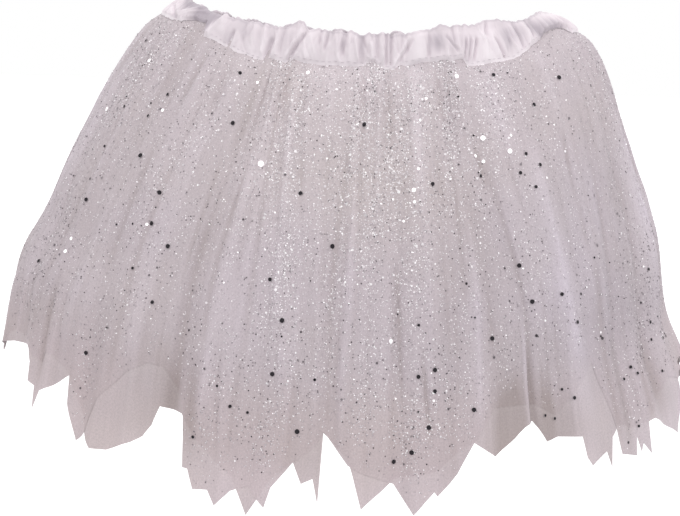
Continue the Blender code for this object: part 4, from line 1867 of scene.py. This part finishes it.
@dataclass
class NetLayer:
    """One gathered layer of net with its pointed hem."""

    layer: Layer
    drape: Drape
    cuts: list[Cut]
    other_cuts: list[Cut]
    node: str
    name: str
    top_inset: float = 0.0003
    step_top: float = 0.0012
    step_hem: float = 0.00028
    step_length: float = 0.060
    column_step: float = 0.36
    body_rows: int = 46
    tuck_rows: int = 3
    hem_rows: int = 12
    body_length: float = 0.222
    tuck: float = 0.0140
    cut_width: float = 1.62
    cut_length: float = 0.312
    cut_area: float = 0.44
    # Pipes this deep get full painted shade in their troughs.
    pipe_shade_depth: float = 60.0 * MM
    # Under the casing the painted fold shade is calmed and painted light is laid on.
    below_seam: Ramp = Ramp(-0.002, 0.038)
    seam_calm: float = 0.5
    seam_light: float = 0.54
    seam_patch: Patch = Patch(-6.0, 34.0)
    # Where the net lies alone it is painted darker as shade.
    alone: Ramp = Ramp(-0.003, 0.009)
    alone_fade: Ramp = Ramp(0.0, 0.060)
    alone_loss: float = 0.6
    # Toward the hem and at the tips the net is painted lighter.
    low: Ramp = Ramp(0.200, 0.070)
    low_patch: Patch = Patch(62.0, 28.0)
    low_loss: float = 0.6
    tip: Ramp = Ramp(0.268, 0.028)
    warm_patch: Patch = Patch(-8.0, 46.0)
    warm_end: Ramp = Ramp(0.080, 0.060)
    cool_patch: Patch = Patch(48.0, 26.0)
    cool_start: Ramp = Ramp(0.050, 0.060)

    def hem(self, degrees: Array, cuts: Sequence[Cut] | None = None) -> Array:
        """Return the cloth's length at an angle, in metres, by this layer's cuts or by others."""
        rows = sorted(cuts or self.cuts, key=lambda row: row.deg)
        return around(degrees, [row.deg for row in rows], [row.down_mm for row in rows]) * MM

    def place(self, degrees: Array, down: Array, lift: float = 0.0) -> Array:
        """Return points of the layer, lifted off its face by a distance.

        Args:
            degrees: The angle at which each point's thread ends at the hem.
            down: The distance down the cloth from the seam, in metres.
            lift: How far off the layer's face each point lies, in metres.

        Returns:
            The points, with the coordinates on the last axis.
        """
        spread = smooth(down / self.step_length)
        step = self.step_top + (self.step_hem - self.step_top) * spread
        return self.drape.place(degrees, down, self.top_inset + self.layer.value * step - lift)

    def _columns(self) -> Array:
        """Return the columns' angles: every corner of both hems, with even steps between.

        Returns:
            The angles, from the first corner round to the same corner again.
        """
        corners = sorted({row.deg for row in [*self.cuts, *self.other_cuts]})
        columns: list[float] = []
        for here, after in zip(corners, [*corners[1:], corners[0] + TURN]):
            steps = max(1, round((after - here) / self.column_step))
            columns += [here + (after - here) * k / steps for k in range(steps)]
        return np.array([*columns, corners[0] + TURN])

    def masks(self, degrees: Array, down: Array) -> dict[str, Array]:
        """Work out the masks that the net's finish reads.

        Args:
            degrees: The columns' angles.
            down: The distance down the cloth of each point, in metres.

        Returns:
            The masks by name: fold is the painted light and shade of the net, single is where it lies over
            no other layer, painted darker, low and tip are the ends of the cloth, painted lighter, and warm
            is its cast, with 0.5 for none.
        """
        near_seam = 1.0 - self.below_seam.at(down)
        # Painted light and shade: the folds' tones and painted shade in the pipes' troughs.
        tone = self.drape.creased(degrees, down)[1] + self.drape.pipes(degrees, down) / self.pipe_shade_depth
        # Near the seam the painted shade is calmed and painted light is added under the casing.
        tone = tone * (1.0 - self.seam_calm * near_seam)
        tone = tone + self.seam_light * near_seam * self.seam_patch.at(degrees)
        past = down - self.hem(degrees, self.other_cuts)
        warm = self.warm_patch.at(degrees) * (1.0 - self.warm_end.at(down))
        cool = self.cool_patch.at(degrees) * self.cool_start.at(down)
        return {
            "fold": np.clip(0.5 + 0.5 * tone, 0.0, 1.0),
            "single": self.alone.at(past) * (1.0 - self.alone_loss * self.alone_fade.at(past)),
            "low": self.low.at(down) * (1.0 - self.low_loss * self.low_patch.at(degrees)),
            "tip": self.tip.at(down),
            "warm": np.clip(0.5 + 0.5 * (warm - cool), 0.0, 1.0),
        }

    def build(self, net: bpy.types.Material) -> bpy.types.Object:
        """Make the layer and hide the imported part that it stands for.

        Args:
            net: The net's finish.

        Returns:
            The layer.
        """
        degrees = self._columns()[None, :]
        body = np.concatenate([
            np.linspace(-self.tuck, 0.0, self.tuck_rows, endpoint=False),
            np.linspace(0.0, self.body_length, self.body_rows - self.tuck_rows),
        ])[:, None]
        tail = np.linspace(0.0, 1.0, self.hem_rows + 1)[1:, None]
        down = np.concatenate([
            np.broadcast_to(body, (self.body_rows, degrees.shape[1])),
            self.body_length + tail * (self.hem(degrees) - self.body_length),
        ])
        points = self.place(degrees, down)
        points[:, -1] = points[:, 0]
        across = np.broadcast_to((degrees - degrees[0, 0]) / TURN * self.cut_width, down.shape)
        weave = np.stack((across, down), -1)
        piece = TubeGrid(self.name, points, weave, self.masks(degrees, down)).build()
        piece.data.materials.append(net)
        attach(piece, "root")
        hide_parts(self.node)
        return piece


@dataclass(frozen=True)
class Disc:
    """A kind of disc on the net: its corners, how far it tilts and how far it stands off."""

    name: str
    corners: int
    tilt: float
    lift: float


@dataclass
class Sparkle:
    """The glitter and the round sequins on the sequin net."""

    net: NetLayer
    seed: int = 7
    glitter: Disc = Disc("glitter", 4, 0.25, 0.0002)
    flakes: int = 92000
    flake_size: Range = (0.00068, 0.00104)
    flake_growth: float = 1.9
    bright_flake: float = 0.66
    dark_flake: float = 0.12
    spangle: Disc = Disc("spangles", 7, 0.15, 0.0004)
    spangles: int = 1000
    spangle_size: Range = (0.0012, 0.0023)
    sequin: Disc = Disc("sequins", 14, 0.05, 0.0008)
    hidden_sequins: int = 96
    hidden_deg: Range = (96.0, 264.0)
    hidden_down: Range = (0.01, 0.25)
    sequin_size: Range = (0.0024, 0.0036)
    hem_margin: float = 0.004
    hem_thin: float = 0.04
    hem_least: float = 0.3
    cloth_top: float = -0.009
    cloth_length: float = 0.306
    # How much glitter is painted glinting and how much painted as dark reflection.
    bright_base: float = 0.14
    bright_gain: float = 1.25
    bright_least: float = 0.015
    bright_loss: float = 0.12
    lower_half: Ramp = Ramp(0.10, 0.16)
    dark_base: float = 0.05
    dark_gain: float = 0.24
    dark_least: float = 0.01
    dark_extra: float = 0.05
    lower_end: Ramp = Ramp(0.14, 0.08)
    heaviest: float = 2.4
    faint_weight: float = 0.8
    faint_base: float = 0.35
    faint_tone: Range = (0.38, 0.71)
    bright_tone: float = 0.58
    bright_tone_span: float = 0.42
    dark_tone_span: float = 0.5
    probe_deg: float = 0.12
    probe_length: float = 0.0006

    def weights(self, degrees: Array, down: Array) -> tuple[Array, Array]:
        """Return how much glitter is painted glinting and how much is painted as dark reflection at each
        place.

        Args:
            degrees: The angle at which each place's thread ends at the hem.
            down: The distance down the cloth, in metres.

        Returns:
            The weights of the bright and of the dark glitter.
        """
        bright = np.full(degrees.shape, self.bright_base)
        dark = np.full(degrees.shape, self.dark_base)
        for row in SPARKLE_ZONES:
            near = bell(wrapped(degrees - row.hem_deg), row.reach_deg)
            near = near * bell(down / MM - row.down_mm, row.reach_mm)
            bright = bright + self.bright_gain * row.bright * near
            dark = dark + self.dark_gain * row.dark * near
        bright = np.maximum(bright * (1.0 - self.bright_loss * self.lower_half.at(down)), self.bright_least)
        dark = np.maximum(dark + self.dark_extra * self.lower_end.at(down), self.dark_least)
        # Stripes and clumps of painted glints.
        stripe = 0.74 + 0.26 * waves(degrees, 41.0, 1.5 * waves(degrees, 13.0))
        clump = 0.75 + 0.25 * waves(degrees, 29.0, 60.0 * down)
        return bright * stripe * clump, dark * clump

    def _scatter(self, count: int, faint: float, draw: np.random.Generator) -> tuple[Array, Array, Array]:
        """Draw places on the net, thicker where the glitter is, with a tone for each.

        Args:
            count: How many places to draw.
            faint: The weight of foil that hardly shows, next to the bright and the dark.
            draw: The numbers' source.

        Returns:
            The angles, the distances down the cloth and the tones.
        """
        found: list[Array] = []
        while sum(len(block[0]) for block in found) < count:
            deg = draw.uniform(0.0, TURN, count)
            down = draw.uniform(self.cloth_top, self.cloth_length, count)
            bright, dark = self.weights(deg, down)
            total = bright + dark + faint * (self.faint_base + bright)
            keep = draw.uniform(0.0, self.heaviest, count) < total
            room = self.net.hem(deg) - self.hem_margin - down
            kept = self.hem_least + (1.0 - self.hem_least) * smooth(room / self.hem_thin)
            keep &= draw.uniform(0.0, 1.0, count) < np.where(room > 0.0, kept, 0.0)
            pick = draw.uniform(0.0, 1.0, count) * total
            # Each flake's tone: a painted glint, a painted dark reflection, or a faint one.
            shining = self.bright_tone + self.bright_tone_span * draw.beta(1.0, 4.5, count)
            shaded = self.dark_tone_span * draw.beta(0.9, 2.2, count)
            resting = draw.uniform(*self.faint_tone, count)
            tone = np.where(pick < bright, shining, np.where(pick < bright + dark, shaded, resting))
            found.append(np.stack((deg, down, tone))[:, keep])
        degrees, down, tones = np.concatenate(found, axis=1)[:, :count]
        return degrees, down, tones

    def _strewn(self, disc: Disc, spots: tuple[Array, Array, Array], sizes: Array,
                draw: np.random.Generator) -> Strewn:
        """Set out discs over the net, each tilted and turned its own way.

        Args:
            disc: The kind of disc.
            spots: The angles, the distances down the cloth and the tones.
            sizes: The discs' widths, in metres.
            draw: The numbers' source.

        Returns:
            The discs, ready to be joined.
        """
        degrees, down, tones = spots
        here = self.net.place(degrees, down, disc.lift)
        aside = self.net.place(degrees + self.probe_deg, down, disc.lift) - here
        below = self.net.place(degrees, down + self.probe_length, disc.lift) - here
        normal = np.cross(below, aside)
        normal /= np.linalg.norm(normal, axis=-1, keepdims=True)
        lean = normal + draw.normal(0.0, disc.tilt, normal.shape)
        turns = laid_turns(draw.normal(0.0, 1.0, normal.shape), lean)
        shape = disc_shape(f"{disc.name}_disc", disc.corners)
        return Strewn(disc.name, shape, here, turns, sizes, tones)

    def _sequin_spots(self, draw: np.random.Generator) -> tuple[tuple[Array, Array, Array], Array]:
        """Return the listed sequins of the front and drawn ones for the hidden sides.

        Args:
            draw: The numbers' source.

        Returns:
            The angles, the distances down the cloth and the tones, and then the widths.
        """
        rows = []
        for foil, sequins in ((Foil.DARK, DARK_SEQUINS), (Foil.FLASH, BRIGHT_SEQUINS)):
            rows += [(row.hem_deg, row.down_mm * MM, foil.value, row.width_mm * MM) for row in sequins]
        for _ in range(self.hidden_sequins):
            tone = draw.choice((Foil.DARK.value, Foil.DARK.value, Foil.SILVER.value, Foil.FLASH.value))
            degrees, down = draw.uniform(*self.hidden_deg), draw.uniform(*self.hidden_down)
            rows.append((degrees, down, tone, draw.uniform(*self.sequin_size)))
        degrees, down, tones, sizes = np.array(rows).T
        return (degrees, down, tones), sizes

    def build(self, foil: bpy.types.Material, sequin_foil: bpy.types.Material) -> list[bpy.types.Object]:
        """Make the glitter, the small spangles and the sequins.

        Args:
            foil: The finish of the glitter.
            sequin_foil: The finish of the spangles and the sequins.

        Returns:
            The three pieces.
        """
        draw = np.random.default_rng(self.seed)
        spots = self._scatter(self.flakes, self.faint_weight, draw)
        shine = np.maximum(spots[2] - self.bright_flake, 0.0) + np.maximum(self.dark_flake - spots[2], 0.0)
        sizes = draw.uniform(*self.flake_size, self.flakes) * (1.0 + self.flake_growth * shine)
        glitter = self._strewn(self.glitter, spots, sizes, draw)
        spots = self._scatter(self.spangles, 0.0, draw)
        small, large = self.spangle_size
        sizes = small + (large - small) * draw.beta(1.2, 2.0, self.spangles)
        spangles = self._strewn(self.spangle, spots, sizes, draw)
        spots, sizes = self._sequin_spots(draw)
        sequins = self._strewn(self.sequin, spots, sizes, draw)
        pieces = [glitter.build(foil), spangles.build(sequin_foil), sequins.build(sequin_foil)]
        for piece in pieces:
            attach(piece, "root")
        return pieces


@dataclass
class Studio:
    """The plain pale floor, the soft lights and the camera."""

    floor_z: float = -0.95
    floor_size: float = 14.0
    floor_grain: float = 3.0
    floor_dim: Colour = rgba(0.28, 0.28, 0.28)
    floor_pale: Colour = rgba(0.32, 0.32, 0.32)
    floor_roughness: float = 0.9
    camera_at: tuple[float, float, float] = (0.0, -1.05, 0.022)
    yaw: float = -0.903
    pitch: float = 10.875
    roll: float = 1.919
    lens: float = 71.8
    sensor_width: float = 36.0
    sky_level: float = 1.18
    horizon_level: float = 0.70
    sky_from: float = 0.8
    floor_seen: float = 1.0
    floor_lit: float = 0.10
    key_power: float = 7.5
    key_size: float = 1.8
    key_at: tuple[float, float, float] = (-0.35, -1.9, 1.15)
    fill_power: float = 2.4
    fill_size: float = 1.0
    fill_at: tuple[float, float, float] = (1.30, -0.70, 0.30)
    aim: tuple[float, float, float] = (0.0, 0.0, -0.15)

    def floor(self) -> bpy.types.Object:
        """Make the floor.

        Returns:
            The floor, which glows where the camera sees it and hardly lights the skirt.
        """
        bm = bmesh.new()
        bmesh.ops.create_grid(bm, x_segments=1, y_segments=1, size=self.floor_size)
        bmesh.ops.translate(bm, verts=bm.verts, vec=(0.0, 0.0, self.floor_z))
        floor = shown("floor", meshed("floor", bm))
        material, sheet, shader = new_material("pale_floor")
        grain = sheet.add("ShaderNodeTexNoise")
        grain.inputs["Scale"].default_value = self.floor_grain
        sheet.join(sheet.add("ShaderNodeTexCoord").outputs["Object"], grain.inputs["Vector"])
        pale = sheet.blend(grain.outputs[0], self.floor_dim, self.floor_pale)
        sheet.join(pale, shader.inputs["Base Color"])
        shader.inputs["Roughness"].default_value = self.floor_roughness
        shader.inputs["Emission Color"].default_value = WHITE
        seen = sheet.add("ShaderNodeLightPath").outputs["Is Camera Ray"]
        glow = sheet.span(seen, 0.0, 1.0, self.floor_lit, self.floor_seen)
        sheet.join(glow, shader.inputs["Emission Strength"])
        floor.data.materials.append(material)
        return floor

    def world(self) -> None:
        """Light the scene more from above than from below and keep the background white."""
        world = bpy.data.worlds.new("studio")
        world.use_nodes = True
        sheet = NodeSheet(world.node_tree)
        back = world.node_tree.nodes["Background"]
        back.inputs["Color"].default_value = WHITE
        parts = sheet.add("ShaderNodeSeparateXYZ")
        sheet.join(sheet.add("ShaderNodeTexCoord").outputs["Generated"], parts.inputs[0])
        level = sheet.span(parts.outputs[2], 0.0, self.sky_from, self.horizon_level, self.sky_level)
        seen = sheet.add("ShaderNodeLightPath").outputs["Is Camera Ray"]
        sheet.join(sheet.maths("MAXIMUM", level, seen), back.inputs["Strength"])
        bpy.context.scene.world = world

    def lamp(self, name: str, at: tuple[float, float, float], power: float, size: float) -> None:
        """Hang a soft square lamp that looks at the skirt.

        Args:
            name: The lamp's name.
            at: Its place, in metres.
            power: Its power, in watts.
            size: The length of its sides, in metres.
        """
        light = bpy.data.lights.new(name, "AREA")
        light.energy, light.size = power, size
        lamp = shown(name, light)
        lamp.location = at
        lamp.rotation_euler = (Vector(self.aim) - Vector(at)).to_track_quat("-Z", "Y").to_euler()

    def camera(self) -> None:
        """Set up the camera, nearly level with the waist and tipped down at the skirt."""
        yaw, pitch, roll = radians(self.yaw), radians(self.pitch), radians(self.roll)
        ahead = Vector((sin(yaw) * cos(pitch), cos(yaw) * cos(pitch), -sin(pitch)))
        right = Vector((cos(yaw), -sin(yaw), 0.0))
        up = right.cross(ahead)
        right, up = right * cos(roll) + up * sin(roll), up * cos(roll) - right * sin(roll)
        data = bpy.data.cameras.new("camera")
        data.lens, data.sensor_width = self.lens, self.sensor_width
        camera = shown("camera", data)
        turned = Matrix((right, up, -ahead)).transposed().to_4x4()
        camera.matrix_world = Matrix.Translation(self.camera_at) @ turned
        bpy.context.scene.camera = camera

    def build(self) -> None:
        """Set up the whole studio."""
        bpy.context.scene.view_settings.view_transform = "Standard"
        self.floor()
        self.world()
        self.lamp("key", self.key_at, self.key_power, self.key_size)
        self.lamp("fill", self.fill_at, self.fill_power, self.fill_size)
        self.camera()


def back_cuts(first_is_point: bool) -> list[Cut]:
    """Return the hem cuts of the back, points and notches by turns.

    Args:
        first_is_point: Whether the cuts of even number are the points.

    Returns:
        The rows, from the front's last corner round to its first.
    """
    count, hem_mm, point_mm, sway_mm, stray_deg = 34, 278.0, 15.0, 8.0, 0.9
    span = SEQUIN_HEM[0].deg + TURN - SEQUIN_HEM[-1].deg
    rows = []
    for k in range(1, count):
        deg = SEQUIN_HEM[-1].deg + span * k / count + stray_deg * sin(2.3 * k)
        side = 1.0 if (k % 2 == 0) == first_is_point else -1.0
        reach = point_mm * (0.65 + 0.35 * sin(1.9 * k + 0.4))
        sway = sway_mm * sin(0.55 * k + (0.0 if first_is_point else 1.7))
        rows.append(Cut(round(2.0 * deg) / 2.0, hem_mm + side * reach + sway))
    return rows


def main() -> None:
    """Make the tutu's visible pieces and the studio, in order."""
    logging.basicConfig(level=logging.INFO, format="%(message)s")
    Studio().build()
    log.info("studio ready")
    net, streaks = net_group(), streak_group()
    drape = Drape()
    casing = SatinCasing(drape.seam)
    log.info("made %s", casing.build(SatinFinish().make(streaks)).name)
    log.info("made %s", casing.stitches(ThreadFinish().make()).name)
    upper, under = [*SEQUIN_HEM, *back_cuts(True)], [*PLAIN_HEM, *back_cuts(False)]
    sequin_net = NetLayer(Layer.SEQUIN, drape, upper, under, "sequin_tulle", "sequin_net")
    plain_net = NetLayer(Layer.PLAIN, drape, under, upper, "plain_tulle", "plain_net")
    # The plain net's middle colour and its pipe colour, painted lighter as light on the pipes.
    plain_middle, plain_pipe_light = rgba(0.60, 0.526, 0.558), rgba(0.73, 0.645, 0.70)
    plain_finish = NetFinish("plain_net_white", middle=plain_middle, pipe=plain_pipe_light)
    log.info("made %s", sequin_net.build(NetFinish("sequin_net_white").make(net, streaks)).name)
    log.info("made %s", plain_net.build(plain_finish.make(net, streaks)).name)
    for piece in Sparkle(sequin_net).build(FoilFinish("glitter_foil").make(),
                                           FoilFinish("sequin_foil", glow=0.5).make()):
        log.info("made %s", piece.name)


if __name__ == "__main__":
    main()
